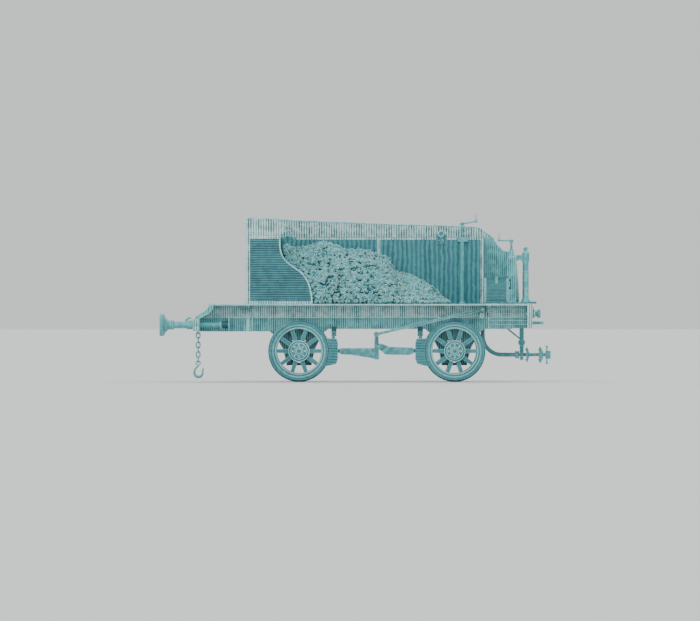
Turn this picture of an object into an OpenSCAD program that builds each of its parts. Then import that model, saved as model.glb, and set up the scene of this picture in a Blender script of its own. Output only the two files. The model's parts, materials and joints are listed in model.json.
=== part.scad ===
// Four-wheeled coke wagon tender, drawn as a long section.
// +X points to the coupled (front) end, -Y is the near side, z = 0 is the flange bottom.

/* [Wheels] */
// Diameter over the tread of each wheel
tread_d = 1070; // [900:10:1300]
// Height of the flange beyond the tread
flange_h = 29; // [20:1:34]
// Width of the tyre across the tread
tyre_w = 130; // [110:5:150]
// Radial thickness of the tyre
tyre_t = 52; // [40:1:70]
// Distance between the inner faces of the two tyres of an axle
back_to_back = 1360; // [1340:5:1400]
// Place of the rear axle along the frame
rear_axle_x = -1040; // [-1100:10:-950]
// Distance between the axles
wheelbase = 2852; // [2750:10:3000]
// Number of spokes in a wheel
spokes = 10; // [8:1:14]
// Width of a spoke where it meets the rim
spoke_w = 62; // [40:2:80]
// Radius of the wheel boss
boss_r = 190; // [150:5:220]
// Diameter of the axle between the wheels
axle_d = 130; // [110:5:150]

/* [Frame] */
// Height of the top of the deck
deck_z = 1430; // [1350:10:1700]
// Thickness of the deck
deck_t = 35; // [25:1:50]
// Half of the deck's width
deck_half = 950; // [930:5:1100]
// Rear edge of the deck
deck_rear_x = -2695; // [-2750:5:-2600]
// Rear face of the front beam
beam_x = 3140; // [3100:5:3300]
// Thickness of the front beam
beam_t = 90; // [60:5:110]
// Thickness of a main frame plate
plate_t = 25; // [18:1:32]
// Outer face of a main frame plate from the centre line
plate_y = 615; // [600:1:625]
// Height of the main frame plate's lower edge
plate_low_z = 970; // [940:5:1000]
// Depth of the doubling plate below the deck
doubler_h = 225; // [150:5:240]
// Thickness of the doubling plate
doubler_t = 20; // [10:1:25]

/* [Tank] */
// Height of the tank top
tank_z = 2660; // [2400:10:3000]
// Half of the tank's width
tank_half = 920; // [900:5:925]
// Thickness of the tank sheets
sheet_t = 14; // [8:1:20]
// Inner face of the side arm of the tank
arm_y = 520; // [500:5:600]
// Rear face of the tank
tank_rear_x = -2000; // [-2050:10:-1950]
// Front end of the arm of the tank
arm_front_x = 2350; // [2330:10:2380]
// Height of the rear coping
coping_h = 345; // [290:5:490]

/* [Ends] */
// Height of the buffers above the rail
buffer_h = 1016; // [980:2:1100]
// Distance of a buffer from the centre line
buffer_y = 870; // [800:5:875]
// Diameter of a buffer head
head_d = 410; // [340:5:440]
// Face of the rear buffers
buffer_face_x = -3590; // [-3620:5:-3560]
// Rear face of the rear headstock
headstock_x = -2960; // [-2980:5:-2940]
// Thickness of the rear headstock
headstock_t = 100; // [80:5:130]
// Half length of the rear headstock
headstock_half = 1150; // [1130:5:1250]
// Depth of the rear headstock
headstock_h = 220; // [180:5:240]
// Diameter of the drawbar's pin hole
drawbar_hole_d = 60; // [40:2:70]

/* [Brake] */
// Clearance between a brake block and the tread
block_gap = 11; // [8:1:16]
// Width of a brake block
block_w = 100; // [80:5:110]
// Diameter of the cross shaft of the brake
brake_shaft_d = 90; // [70:5:100]
// Diameter of the brake screw
brake_screw_d = 40; // [30:2:50]
// Height of the brake crank's boss
brake_crank_z = 2590; // [2550:5:2700]

/* [Water] */
// Outside diameter of the feed pipe
pipe_d = 76; // [60:2:90]
// Height of the feed pipe at the coupling
pipe_z = 495; // [470:5:520]
// Distance of the feed pipe from the centre line
pipe_y = 460; // [440:5:480]
// Height of the water valve's crank
valve_crank_z = 2900; // [2800:5:2950]

/* [Fits] */
// Radial clearance of a shaft in its bearing
running = 0.08; // [0.02:0.01:0.1]
// Gap between pieces that pass each other
gap = 1; // [0.5:0.1:2]

/* [Hidden] */
$fn = 64;

// Wheels and axles
tread_r = tread_d / 2;
flange_r = tread_r + flange_h;
wheel_z = flange_r;
front_axle_x = rear_axle_x + wheelbase;
tyre_in = back_to_back / 2;
tyre_out = tyre_in + tyre_w;
tyre_mid = (tyre_in + tyre_out) / 2;
rim_r = tread_r - tyre_t;
rim_t = 75;
wheel_inset = 8;
flange_w = 46;
boss_out = tyre_out + 20;
boss_in = tyre_in - 8;
axle_end = boss_out + 12;

// Frame
deck_low = deck_z - deck_t;
plate_in = plate_y - plate_t;
doubler_y = plate_y + doubler_t;
rear_low_z = plate_low_z - 45;
horn_half = 130;
cheek_t = 25;
horn_leg_w = 100;
horn_low_z = 345;
horn_top_z = wheel_z + 196;
axlebox_half = horn_half - cheek_t;
axlebox_out = boss_in - 12;
beam_front_x = beam_x + beam_t;
beam_low_z = plate_low_z + 15;
headstock_top = rear_low_z + headstock_h + 5;
headstock_low = headstock_top - headstock_h;
headstock_front = headstock_x + headstock_t;
apron_t = 90;
bracket_h = 125;
spring_half_w = 38;
spring_y = plate_in - spring_half_w - 7;
spring_len = 400;
leaf_t = 14;
leaf_count = 7;
spring_base_z = plate_low_z + 30;

// Boards of the footplate
board_t = 35;
board_gap = 3;
board_rear = arm_front_x;
board_front = beam_front_x + 80;
board_count = 6;
foot_z = deck_z + board_t;

// Brake gear
brake_y = tyre_mid;
valve_x = 1960;
brake_shaft_x = valve_x + 350;
brake_shaft_z = deck_z - 220;
brake_screw_x = 2870;
brake_screw_y = 700;
nut_z = brake_shaft_z;
hanger_z = plate_low_z - 80;
rear_hanger_x = rear_axle_x + tread_r + 105;
front_hanger_x = front_axle_x - tread_r - 92;
rod_thick = 25;
rod_in = brake_y + 20;
rod_out = rod_in + rod_thick;
lever_in = rod_out + 5;
lever_out = lever_in + 30;
tongue_half = 15;
rear_pin = [rear_axle_x + tread_r + 265, wheel_z + 1];
lever_pin = [350, wheel_z - 109];
lever_lug = [455, wheel_z + 91];
lever_eye = [380, wheel_z + 306];
front_pin = [front_axle_x - tread_r - 272, wheel_z + 6];
pull_eye = [brake_shaft_x, brake_shaft_z + 120];
pull_in = lever_out + 3;
pull_out = pull_in + 22;
pin_r = 16;

// Water valve and feed pipe
valve_rod_r = 12;
pipe_r = pipe_d / 2;
pipe_top_z = brake_shaft_z - 90;
pipe_bend = 70;
pipe_drop_x = brake_shaft_x + 30;
pipe_sweep = 350;
gland_x = 2935;
gland_front = 3010;
link_x = 3055;
link_t = 50;

// Tank
tank_front_x = 2980;
coping_t = sheet_t;

// Ends
buffer_z = flange_h + buffer_h;
buffer_rod_r = 60;
buffer_tail_r = 45;
spring_rear = -2460;
spring_front = -2330;
front_buffer_z = 1250;
front_buffer_y = buffer_y - 150;
hook_z = 1045;
drawbar_z = 1080;
chain_x = (headstock_x + headstock_front) / 2 + 15;
bar_r = 11;
link_inner = 89;
link_w = 90;
link_gap = 0.4;
chain_pin_z = headstock_low - 4 * bar_r;
link_pitch = link_inner - link_gap;
first_link_z = chain_pin_z + bar_r + link_gap - link_inner / 2;

// Colours
paint_pale = [0.62, 0.80, 0.80];
paint_mid = [0.20, 0.52, 0.57];
paint_dark = [0.07, 0.33, 0.38];
iron = [0.50, 0.64, 0.66];
wood = [0.42, 0.60, 0.60];

// Box between two corners
module box(x0, x1, y0, y1, z0, z1) {
    translate([x0, y0, z0]) cube([x1 - x0, y1 - y0, z1 - z0]);
}

// Round bars along each axis
module along_x(y, z, r, x0, x1) {
    translate([x0, y, z]) rotate([0, 90, 0]) cylinder(r = r, h = x1 - x0);
}
module along_y(x, z, r, y0, y1) {
    translate([x, y1, z]) rotate([90, 0, 0]) cylinder(r = r, h = y1 - y0);
}
module along_z(x, y, r, z0, z1) {
    translate([x, y, z0]) cylinder(r = r, h = z1 - z0);
}

// Plate with an outline in x and z, between two y values
module plate(points, y0, y1) {
    translate([0, y1, 0]) rotate([90, 0, 0]) linear_extrude(y1 - y0) polygon(points);
}

// The same thing on both sides of the centre line
module both_sides() {
    children();
    mirror([0, 1, 0]) children();
}

// Local z runs outwards from the centre line on the far side
module on_axle(x) {
    translate([x, 0, wheel_z]) rotate([-90, 0, 0]) children();
}

// Turned piece about a line along x
module turned_x(x, y, z, profile) {
    translate([x, y, z]) rotate([0, 90, 0]) rotate_extrude() polygon(profile);
}

// Turned piece about a line along z
module turned_z(x, y, z, profile) {
    translate([x, y, z]) rotate_extrude() polygon(profile);
}

// Bar between two points in the x-z plane
module strut(a, b, w, y0, y1) {
    d = b - a;
    n = [-d[1], d[0]] / norm(d) * w / 2;
    plate([a + n, b + n, b - n, a - n], y0, y1);
}

// Point on a cubic curve
function curve(p, t) = pow(1 - t, 3) * p[0] + 3 * t * pow(1 - t, 2) * p[1]
    + 3 * t * t * (1 - t) * p[2] + pow(t, 3) * p[3];

// ---- Wheels ----

// One rear or front tyre with its flange inwards
module tyre() {
    rotate_extrude() translate([0, tyre_in]) polygon([
        [rim_r, 0], [flange_r - 8, 0], [flange_r, 10], [flange_r, 20], [tread_r + 6, flange_w - 14],
        [tread_r, flange_w], [tread_r, tyre_w - 8], [tread_r - 8, tyre_w], [rim_r, tyre_w]]);
}

module spoke() {
    reach = rim_r - rim_t / 2;
    translate([0, 0, tyre_in + 32]) linear_extrude(tyre_w - 60)
        polygon([[boss_r - 20, -spoke_w * 0.62], [reach, -spoke_w / 2],
            [reach, spoke_w / 2], [boss_r - 20, spoke_w * 0.62]]);
}

module wheel() {
    difference() {
        union() {
            translate([0, 0, tyre_in + wheel_inset]) difference() {
                cylinder(r = rim_r, h = tyre_w - 2 * wheel_inset);
                translate([0, 0, -1]) cylinder(r = rim_r - rim_t, h = tyre_w);
            }
            for (i = [0 : spokes - 1]) rotate([0, 0, i * 360 / spokes]) spoke();
            translate([0, 0, boss_in]) cylinder(r = boss_r, h = tyre_out - boss_in);
            translate([0, 0, tyre_out - 1]) cylinder(r = boss_r * 0.8, h = boss_out - tyre_out + 1);
        }
        translate([0, 0, boss_in - 1]) cylinder(r = axle_d / 2, h = axle_end);
    }
}

module axle(x) {
    along_y(x, wheel_z, axle_d / 2, -axle_end, axle_end);
}

module axle_rear() {
    color(iron) axle(rear_axle_x);
}
module axle_front() {
    color(iron) axle(front_axle_x);
}
module wheels_rear() {
    color(paint_mid) both_sides() on_axle(rear_axle_x) wheel();
}
module wheels_front() {
    color(paint_mid) both_sides() on_axle(front_axle_x) wheel();
}
module tyres_rear() {
    color(paint_pale) both_sides() on_axle(rear_axle_x) tyre();
}
module tyres_front() {
    color(paint_pale) both_sides() on_axle(front_axle_x) tyre();
}

// ---- Frame ----

// Lower edge of a frame plate round one axle, from front to rear
function horn_edge(x, z_front, z_rear) = [
    [x + 540, z_front], [x + 430, z_front - 90], [x + horn_half + horn_leg_w + 60, wheel_z + 36],
    [x + horn_half + horn_leg_w, horn_low_z], [x + horn_half, horn_low_z],
    [x + horn_half, horn_top_z], [x - horn_half, horn_top_z], [x - horn_half, horn_low_z],
    [x - horn_half - horn_leg_w, horn_low_z], [x - horn_half - horn_leg_w - 60, wheel_z + 36],
    [x - 430, z_rear - 90], [x - 540, z_rear]];

// Inner line of the apron, which the frame plates follow
apron_inner = [[headstock_front, headstock_top], [headstock_front + 15, headstock_top + 15],
    [deck_rear_x - 5, deck_low - 150], [deck_rear_x + 70, deck_low - 75],
    [deck_rear_x + apron_t, deck_low]];
apron_outer = [[deck_rear_x, deck_low], [deck_rear_x, deck_low - 25],
    [deck_rear_x - 55, deck_low - 85], [headstock_x + 60, deck_low - 175],
    [headstock_x, headstock_top]];

module frame_plates() {
    outline = concat([[beam_x, deck_low], [beam_x, beam_low_z], [beam_x - 270, beam_low_z],
            [beam_x - 280, plate_low_z]],
        horn_edge(front_axle_x, plate_low_z, plate_low_z),
        horn_edge(rear_axle_x, plate_low_z, rear_low_z),
        [[headstock_front, rear_low_z]], apron_inner);
    color(paint_dark) both_sides() difference() {
        plate(outline, plate_in, plate_y);
        along_y(brake_shaft_x, brake_shaft_z, brake_shaft_d / 2 + running, plate_in - 1, plate_y + 1);
    }
}

module frame_doublers() {
    low = deck_low - doubler_h;
    a = apron_inner[1];
    b = apron_inner[2];
    heel = a + (b - a) * (low - a[1]) / (b[1] - a[1]);
    color(paint_pale) both_sides() difference() {
        plate(concat([[beam_x, deck_low], [beam_x, low], heel],
            [for (i = [2 : len(apron_inner) - 1]) apron_inner[i]]), plate_y, doubler_y);
        along_y(brake_shaft_x, brake_shaft_z, brake_shaft_d / 2 + 10, plate_y - 1, doubler_y + 1);
    }
}

// Cross stays between the plates, and brackets under the overhanging deck
module frame_stays() {
    color(paint_dark) {
        for (x = [-2300, -1780, -180, 700, 2480, 2760])
            box(x - 10, x + 10, -plate_in, plate_in, plate_low_z + 40, deck_low);
        both_sides() for (x = [-1970, 2435])
            difference() {
                box(x - 30, x + 30, doubler_y, deck_half - 20, deck_low - bracket_h, deck_low);
                along_x(deck_half - 20, deck_low - bracket_h, bracket_h - 30, x - 31, x + 31);
            }
    }
}

module rear_headstock() {
    color(paint_pale) difference() {
        box(headstock_x, headstock_front, -headstock_half, headstock_half,
            headstock_low, headstock_top);
        both_sides() along_x(buffer_y, buffer_z, buffer_tail_r + 2, headstock_x - 1, headstock_front + 1);
        along_x(0, hook_z, 32 + running, headstock_x - 1, headstock_front + 1);
    }
    color(iron) {
        both_sides() box(chain_x - 20, chain_x + 20, 22, 40, chain_pin_z - 20, headstock_low);
        along_y(chain_x, chain_pin_z, bar_r, -30, 30);
    }
}

module rear_apron() {
    color(paint_pale) plate(concat(apron_outer, apron_inner), -deck_half, deck_half);
}

module front_beam() {
    color(paint_pale) difference() {
        union() {
            box(beam_x, beam_front_x, -deck_half, deck_half, beam_low_z, deck_z);
            both_sides() along_x(front_buffer_y, front_buffer_z, 80, beam_front_x - 1, beam_front_x + 50);
        }
        both_sides() along_x(front_buffer_y, front_buffer_z, 45 + running, beam_x - 1, beam_front_x + 60);
        box(beam_x - 1, beam_front_x + 1, -90, 90, drawbar_z - 70, drawbar_z + 70);
    }
    color(iron) along_z(beam_x + beam_t / 2, 0, 24, drawbar_z - 90, drawbar_z + 90);
}

module deck_planks() {
    color(paint_pale) difference() {
        box(deck_rear_x, beam_x, -deck_half, deck_half, deck_low, deck_z);
        along_z(valve_x, pipe_y, valve_rod_r + 4, deck_low - 1, deck_z + 1);
        along_z(brake_screw_x, brake_screw_y, brake_screw_d / 2 + 3, deck_low - 1, deck_z + 1);
    }
}

module footplate_boards() {
    step = (board_front - board_rear) / board_count;
    color(wood) difference() {
        for (i = [0 : board_count - 1])
            box(board_rear + i * step, board_rear + (i + 1) * step - board_gap,
                -deck_half, deck_half, deck_z, foot_z);
        along_z(brake_screw_x, brake_screw_y, brake_screw_d / 2 + 3, deck_z - 1, foot_z + 1);
    }
    color(iron) both_sides() for (y = [120, 560])
        difference() {
            box(fall_x - 14, fall_x + 14, y - 20, y + 20, foot_z, fall_z + 14);
            along_y(fall_x, fall_z, fall_pin_r + running, y - 21, y + 21);
        }
}

// Guides, ties and hanger brackets that carry the axleboxes, springs and brake hangers
module horn_guides() {
    color(iron) both_sides() {
        for (x = [rear_axle_x, front_axle_x]) {
            for (side = [-1, 1]) {
                c = x + side * (horn_half - cheek_t / 2);
                box(c - cheek_t / 2, c + cheek_t / 2, plate_in - 30, plate_y + 30,
                    horn_low_z, horn_top_z - 20);
                s = x + side * (spring_len - 20);
                box(s - 30, s + 30, spring_y - spring_half_w, plate_in,
                    shoe_z, shoe_z + 50);
            }
            box(x - horn_half - horn_leg_w, x + horn_half + horn_leg_w, plate_in, plate_y,
                horn_low_z - 40, horn_low_z);
        }
        for (x = [rear_hanger_x, front_hanger_x]) {
            box(x - 45, x + 45, plate_y, doubler_y, hanger_z - 50, plate_low_z + 45);
            along_y(x, hanger_z, 20, plate_y, brake_y + 30);
        }
    }
}

// ---- Springs and axleboxes ----

module axleboxes() {
    color(iron) both_sides() for (x = [rear_axle_x, front_axle_x]) difference() {
        box(x - axlebox_half, x + axlebox_half, spring_y - spring_half_w, axlebox_out,
            wheel_z - 140, wheel_z + 135);
        along_y(x, wheel_z, axle_d / 2 + running, 0, axlebox_out + 1);
    }
}

leaf_r = 1600;
leaf_rise = leaf_r - sqrt(pow(leaf_r, 2) - pow(spring_len, 2));
shoe_z = spring_base_z + leaf_count * leaf_t + leaf_rise + gap;

// One bent leaf, its centre on z0, with its ends raised
module leaf(x, z0, half) {
    r = leaf_r - (z0 - spring_base_z);
    a = asin(half / leaf_r);
    inner = [for (i = [-4 : 4]) [x + (r - leaf_t) * sin(a * i / 4),
        z0 + r - (r - leaf_t) * cos(a * i / 4)]];
    outer = [for (i = [4 : -1 : -4]) [x + r * sin(a * i / 4), z0 + r - r * cos(a * i / 4)]];
    plate(concat(inner, outer), spring_y - spring_half_w, spring_y + spring_half_w);
}

module leaf_springs() {
    color(paint_pale) both_sides() for (x = [rear_axle_x, front_axle_x]) {
        for (i = [0 : leaf_count - 1])
            leaf(x, spring_base_z + i * leaf_t, spring_len * (0.3 + 0.7 * (i + 1) / leaf_count));
        box(x - 45, x + 45, spring_y - spring_half_w - 4, spring_y + spring_half_w + 4,
            spring_base_z - 20, spring_base_z + leaf_count * leaf_t + 14);
        along_z(x, spring_y, 22, wheel_z + 135, spring_base_z - 10);
    }
}

// ---- Tank ----

// Curve of the bulkhead from its straight top down to the deck
bulkhead = [[-1395, 2500], [-1350, 1950], [-830, 2250], [-805, deck_z]];
bulkhead_steps = 18;
function bulkhead_point(t) = curve(bulkhead, t);
bulkhead_line = concat([[bulkhead[0][0], tank_z]],
    [for (i = [0 : bulkhead_steps]) bulkhead_point(i / bulkhead_steps)]);
bulkhead_shift = [for (p = bulkhead_line) p + [sheet_t, 0]];

// Top edge of the coping, from the front to the rear
coping_rear_z = tank_z + coping_h;
coping_edge = [[2620, tank_z - 160], [2560, tank_z - 60], [2500, tank_z + 20],
    [2400, tank_z + 80], [2280, coping_rear_z - 165],
    [1900, coping_rear_z - 145], [1300, coping_rear_z - 125], [0, coping_rear_z - 85],
    [-1200, coping_rear_z - 35], [tank_rear_x + 40, coping_rear_z],
    [tank_rear_x, coping_rear_z - 40]];

function reversed(list) = [for (i = [len(list) - 1 : -1 : 0]) list[i]];

module tank_rear_sheets() {
    color(paint_mid) {
        box(tank_rear_x, tank_rear_x + sheet_t, -tank_half, tank_half - sheet_t, deck_z, tank_z);
        plate(concat([[tank_rear_x + sheet_t, deck_z], [tank_rear_x + sheet_t, tank_z]],
            bulkhead_line), -tank_half, -tank_half + sheet_t);
    }
}

// Far side sheet with the wing that guards the footplate
module tank_side_far() {
    wing = [[tank_rear_x, deck_z], [board_rear, deck_z], [board_rear, foot_z],
        [tank_front_x + 30, foot_z], [tank_front_x + 10, tank_z - 860],
        [tank_front_x - 20, tank_z - 480], [tank_front_x - 60, tank_z - 330],
        [2800, tank_z - 265], [2720, tank_z - 250], [2620, tank_z - 160],
        [2560, tank_z - 60], [2525, tank_z], [tank_rear_x, tank_z]];
    color(paint_mid) plate(wing, tank_half - sheet_t, tank_half);
}

module tank_inner_wall() {
    x0 = bulkhead[0][0] + sheet_t;
    color(paint_mid) {
        difference() {
            box(x0, arm_front_x, arm_y, arm_y + sheet_t, deck_z, tank_z - sheet_t);
            along_y(1575, 2600, 20, arm_y - 1, arm_y + sheet_t + 1);
        }
        box(arm_front_x - sheet_t, arm_front_x, arm_y + sheet_t, tank_half - sheet_t,
            deck_z, tank_z - sheet_t);
    }
    color(iron) {
        box(-1350, -1110, arm_y - 22, arm_y, 2490, tank_z);
        lug_eye(-1240, tank_z + 65, 45, 24);
        plate([[1490, 2530], [1660, 2530], [1660, 2700], [1615, 2770], [1535, 2770],
            [1490, 2700]], arm_y - 22, arm_y);
    }
}

// Lifting eye that stands on the wall
module lug_eye(x, z, outer, hole) {
    difference() {
        union() {
            along_y(x, z, outer, arm_y - 22, arm_y);
            box(x - outer, x + outer, arm_y - 22, arm_y, z - outer - 40, z);
        }
        along_y(x, z, hole, arm_y - 23, arm_y + 1);
    }
}

module tank_partition() {
    color(paint_pale) plate(concat(bulkhead_line, reversed(bulkhead_shift)),
        -tank_half, arm_y);
}

module tank_top() {
    x0 = bulkhead[0][0] + sheet_t;
    color(paint_dark) difference() {
        union() {
            box(tank_rear_x + sheet_t, bulkhead[0][0], -tank_half + sheet_t, tank_half - sheet_t,
                tank_z - sheet_t, tank_z);
            box(bulkhead[0][0], x0, arm_y, tank_half - sheet_t, tank_z - sheet_t, tank_z);
            box(x0, arm_front_x, arm_y, tank_half - sheet_t, tank_z - sheet_t, tank_z);
        }
        along_z(filler_x, 0, filler_r - 12, tank_z - sheet_t - 1, tank_z + 1);
    }
}

module coping() {
    far = concat([[2525, tank_z]], [for (i = [2 : len(coping_edge) - 1]) coping_edge[i]],
        [[tank_rear_x, tank_z]]);
    short = [[-1370, tank_z], [-1310, tank_z + 110], [-1310, tank_z + 200], [-1370, tank_z + 240],
        [-1400, coping_rear_z - 28], [tank_rear_x + 40, coping_rear_z],
        [tank_rear_x, coping_rear_z - 40], [tank_rear_x, tank_z]];
    color(paint_pale) {
        plate(far, tank_half - coping_t, tank_half);
        plate(short, -tank_half, -tank_half + coping_t);
        box(tank_rear_x, tank_rear_x + coping_t, -tank_half + coping_t / 2, tank_half - coping_t / 2,
            tank_z, coping_rear_z - 40);
    }
}

filler_x = -1690;
filler_r = 190;

module filler_neck() {
    color(paint_mid) {
        turned_z(filler_x, 0, tank_z, [[filler_r - 12, 0], [filler_r + 30, 0], [filler_r + 30, 12],
            [filler_r, 12], [filler_r, 160], [filler_r - 12, 160]]);
        for (y = [-40, 40]) difference() {
            union() {
                box(filler_hinge_x - 14, filler_x - filler_r + 4, y - 8, y + 8, tank_z + 110, tank_z + 150);
                box(filler_hinge_x - 14, filler_hinge_x + 10, y - 8, y + 8, tank_z + 110, filler_hinge_z);
                along_y(filler_hinge_x, filler_hinge_z, 14, y - 8, y + 8);
            }
            along_y(filler_hinge_x, filler_hinge_z, 9 + running, y - 9, y + 9);
        }
    }
}

filler_hinge_x = filler_x - filler_r - 25;
filler_hinge_z = tank_z + 176;

module filler_lid() {
    color(paint_pale) {
        turned_z(filler_x, 0, tank_z + 160.5, [[0, 0], [filler_r + 8, 0], [filler_r + 8, 14],
            [60, 34], [0, 34]]);
        box(filler_hinge_x, filler_x - filler_r + 30, -25, 25, filler_hinge_z - 8, filler_hinge_z + 8);
        along_y(filler_hinge_x, filler_hinge_z, 9, -60, 60);
        box(filler_x + filler_r - 10, filler_x + filler_r + 50, -20, 20, filler_hinge_z - 12, filler_hinge_z);
    }
}

// ---- Load ----

// Crest of the heap along its length, given as x and z
crest = [[-1390, 2500], [-1200, 2480], [-1100, 2430], [-900, 2480], [-600, 2560], [-450, 2520],
    [-200, 2400], [200, 2400], [370, 2340], [560, 2250], [720, 1980], [950, 1960], [1300, 1800],
    [1600, 1520], [1730, 1450]];
load_gap = 24;
load_low = deck_z + 0.5;
load_rows = 12;
load_columns = 24;

function bulkhead_x(z) = z >= bulkhead[0][1] ? bulkhead[0][0]
    : lookup(-z, [for (i = [0 : bulkhead_steps]) [-bulkhead_point(i / bulkhead_steps)[1],
        bulkhead_point(i / bulkhead_steps)[0]]]);

// Height of the heap's crest kept at its natural slope towards the near side
function heap_share(v) = 0.06 + 0.94 * pow(sin(90 * min(1, v * 1.12)), 0.8);
function load_ring(y, v) =
    let (share = heap_share(v), top = load_low + (crest[0][1] - load_low) * share,
        toe = crest[len(crest) - 1][0] - 260 * (1 - share))
    concat([for (i = [0 : load_rows - 1]) let (z = load_low + (top - load_low) * i / load_rows)
            [bulkhead_x(z) + sheet_t + load_gap, y, z]],
        [for (j = [0 : load_columns]) let (x0 = bulkhead_x(top) + sheet_t + load_gap,
            x = x0 + (toe - x0) * j / load_columns, s = crest[0][0] + (crest[len(crest) - 1][0]
                - crest[0][0]) * (x - x0) / (toe - x0))
            [x, y, j == load_columns ? load_low : load_low + (lookup(s, crest) - load_low) * share]]);

module coke_load() {
    slices = 10;
    y0 = -tank_half + sheet_t + load_gap;
    y1 = arm_y - 25;
    rings = [for (k = [0 : slices]) load_ring(y0 + (y1 - y0) * k / slices, k / slices)];
    n = len(rings[0]);
    color(paint_pale) polyhedron(
        points = [for (ring = rings) each ring],
        faces = concat([[for (i = [0 : n - 1]) i]],
            [for (k = [0 : slices - 1], i = [0 : n - 1]) each [
                [k * n + i, (k + 1) * n + i, (k + 1) * n + (i + 1) % n],
                [k * n + i, (k + 1) * n + (i + 1) % n, k * n + (i + 1) % n]]],
            [[for (i = [n - 1 : -1 : 0]) slices * n + i]]));
}

// ---- Fittings on the footplate ----

box_x1 = 2790;
box_y0 = -tank_half + 30;
box_y1 = box_y0 + 460;
box_top = 1905;
box_wall = 22;
hinge_r = 11;
box_hinge_y = box_y1 + 16;
box_hinge_z = box_top + 8;

module toolbox() {
    color(wood) {
        difference() {
            box(board_rear, box_x1, box_y0, box_y1, foot_z, box_top);
            box(board_rear + box_wall, box_x1 - box_wall, box_y0 + box_wall, box_y1 - box_wall,
                foot_z + box_wall, box_top + 1);
        }
    }
    color(iron) {
        for (x = [board_rear + 60, box_x1 - 60]) difference() {
            union() {
                box(x - 25, x + 25, box_y1, box_hinge_y + hinge_r + 6, box_top - 50, box_hinge_z);
                along_x(box_hinge_y, box_hinge_z, hinge_r + 6, x - 25, x + 25);
            }
            along_x(box_hinge_y, box_hinge_z, hinge_r + running, x - 26, x + 26);
        }
        difference() {
            box(box_x1, box_x1 + 55, box_y0 + 180, box_y0 + 205, 1700, 1880);
            box(box_x1 - 1, box_x1 + 32, box_y0 + 170, box_y0 + 215, 1735, 1845);
        }
    }
}

module toolbox_lid() {
    color(wood) box(board_rear + 2, box_x1 + 12, box_y0 - 15, box_y1 - 2,
        box_top + gap, box_top + gap + 25);
    color(iron) {
        along_x(box_hinge_y, box_hinge_z, hinge_r, board_rear + 20, box_x1 - 20);
        for (x = [board_rear + 110, box_x1 - 110])
            box(x - 20, x + 20, box_y1 - 60, box_hinge_y, box_hinge_z - 6 + 8, box_hinge_z + 24);
    }
}

column_x = 3120;
column_y = deck_half - 70;

module handrail_columns() {
    color(iron) both_sides() {
        turned_z(column_x, column_y, foot_z, [[0, 0], [66, 0], [66, 25], [44, 75], [44, 530],
            [47, 535], [47, 550], [42, 555], [42, 730], [52, 735], [52, 905], [40, 910],
            [38, 915], [22, 930], [22, 960], [0, 960]]);
        translate([column_x, column_y, foot_z + 980]) sphere(r = 28);
    }
    color(iron) difference() {
        box(casing_x1, column_x - 30, column_y - 30, tank_half - sheet_t, 2215, 2330);
        along_y(casing_x1 + 60, 2185, 55, column_y - 31, tank_half);
    }
}

casing_x0 = 2790;
casing_x1 = 2960;
casing_y0 = brake_screw_y - 110;
casing_top = 2280;

module brake_casing() {
    color(paint_pale) difference() {
        union() {
            box(casing_x0, casing_x1, casing_y0, tank_half - sheet_t, foot_z, casing_top);
            turned_z(brake_screw_x, brake_screw_y, casing_top - 5, [[0, 0], [80, 0], [80, 20], [62, 35],
                [52, 100], [36, 140], [36, 165], [0, 165]]);
        }
        box(casing_x0 + 12, casing_x1 - 12, casing_y0 + 12, tank_half - sheet_t - 12,
            foot_z - 1, casing_top - 20);
        along_z(brake_screw_x, brake_screw_y, brake_screw_d / 2 + running, foot_z, casing_top + 200);
    }
}

guard_top = 2640;
guard_foot_r = arm_y - pipe_y - gap;

module valve_casing() {
    color(iron) difference() {
        union() {
            turned_z(valve_x, pipe_y, deck_z, [[0, 0], [guard_foot_r, 0], [guard_foot_r, 18], [46, 26], [38, 60],
                [38, guard_top - deck_z], [0, guard_top - deck_z]]);
            box(valve_x - 80, valve_x + 100, pipe_y - 30, arm_y, guard_top - 60, guard_top + 12);
            along_z(valve_x, pipe_y, 85, valve_box_low, deck_low);
        }
        along_z(valve_x, pipe_y, valve_rod_r + running, valve_box_low + 150, guard_top + 20);
        along_z(valve_x, pipe_y, 62, valve_box_low + 20, valve_box_low + 160);
        along_z(valve_x, pipe_y, pipe_r - 8, valve_box_low - 1, valve_box_low + 30);
        along_z(valve_x, pipe_y, 30, deck_z + 40, guard_top - 80);
        box(valve_x - 100, valve_x + 100, pipe_y - 100, pipe_y + 100, deck_low, deck_z);
    }
}

valve_box_low = pipe_top_z + pipe_bend;
plug_z = valve_box_low + 20 + gap;
plug_h = 40;

module valve_crank() {
    color(iron) {
        along_z(valve_x, pipe_y, valve_rod_r, plug_z + 8, valve_crank_z + 30);
        along_z(valve_x, pipe_y, 35, valve_crank_z - 30, valve_crank_z + 30);
        strut([valve_x, valve_crank_z], [valve_x + 255, valve_crank_z + 50], 30, pipe_y - 12, pipe_y + 12);
        along_z(valve_x + 255, pipe_y, 20, valve_crank_z + 25, valve_crank_z + 68);
        along_z(valve_x + 255, pipe_y, 10, valve_crank_z + 65, valve_crank_z + 196);
    }
}

module valve_grip() {
    color(iron) difference() {
        turned_z(valve_x + 255, pipe_y, valve_crank_z + 69, [[0, 0], [18, 0], [25, 30], [25, 90],
            [18, 125], [0, 125]]);
        along_z(valve_x + 255, pipe_y, 10 + running, valve_crank_z + 60, valve_crank_z + 210);
    }
}

module valve_plug() {
    color(iron) difference() {
        along_z(valve_x, pipe_y, 60, plug_z, plug_z + plug_h);
        along_z(valve_x, pipe_y, valve_rod_r + running, plug_z - 1, plug_z + plug_h + 1);
    }
}

// ---- Feed pipe ----

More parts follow.
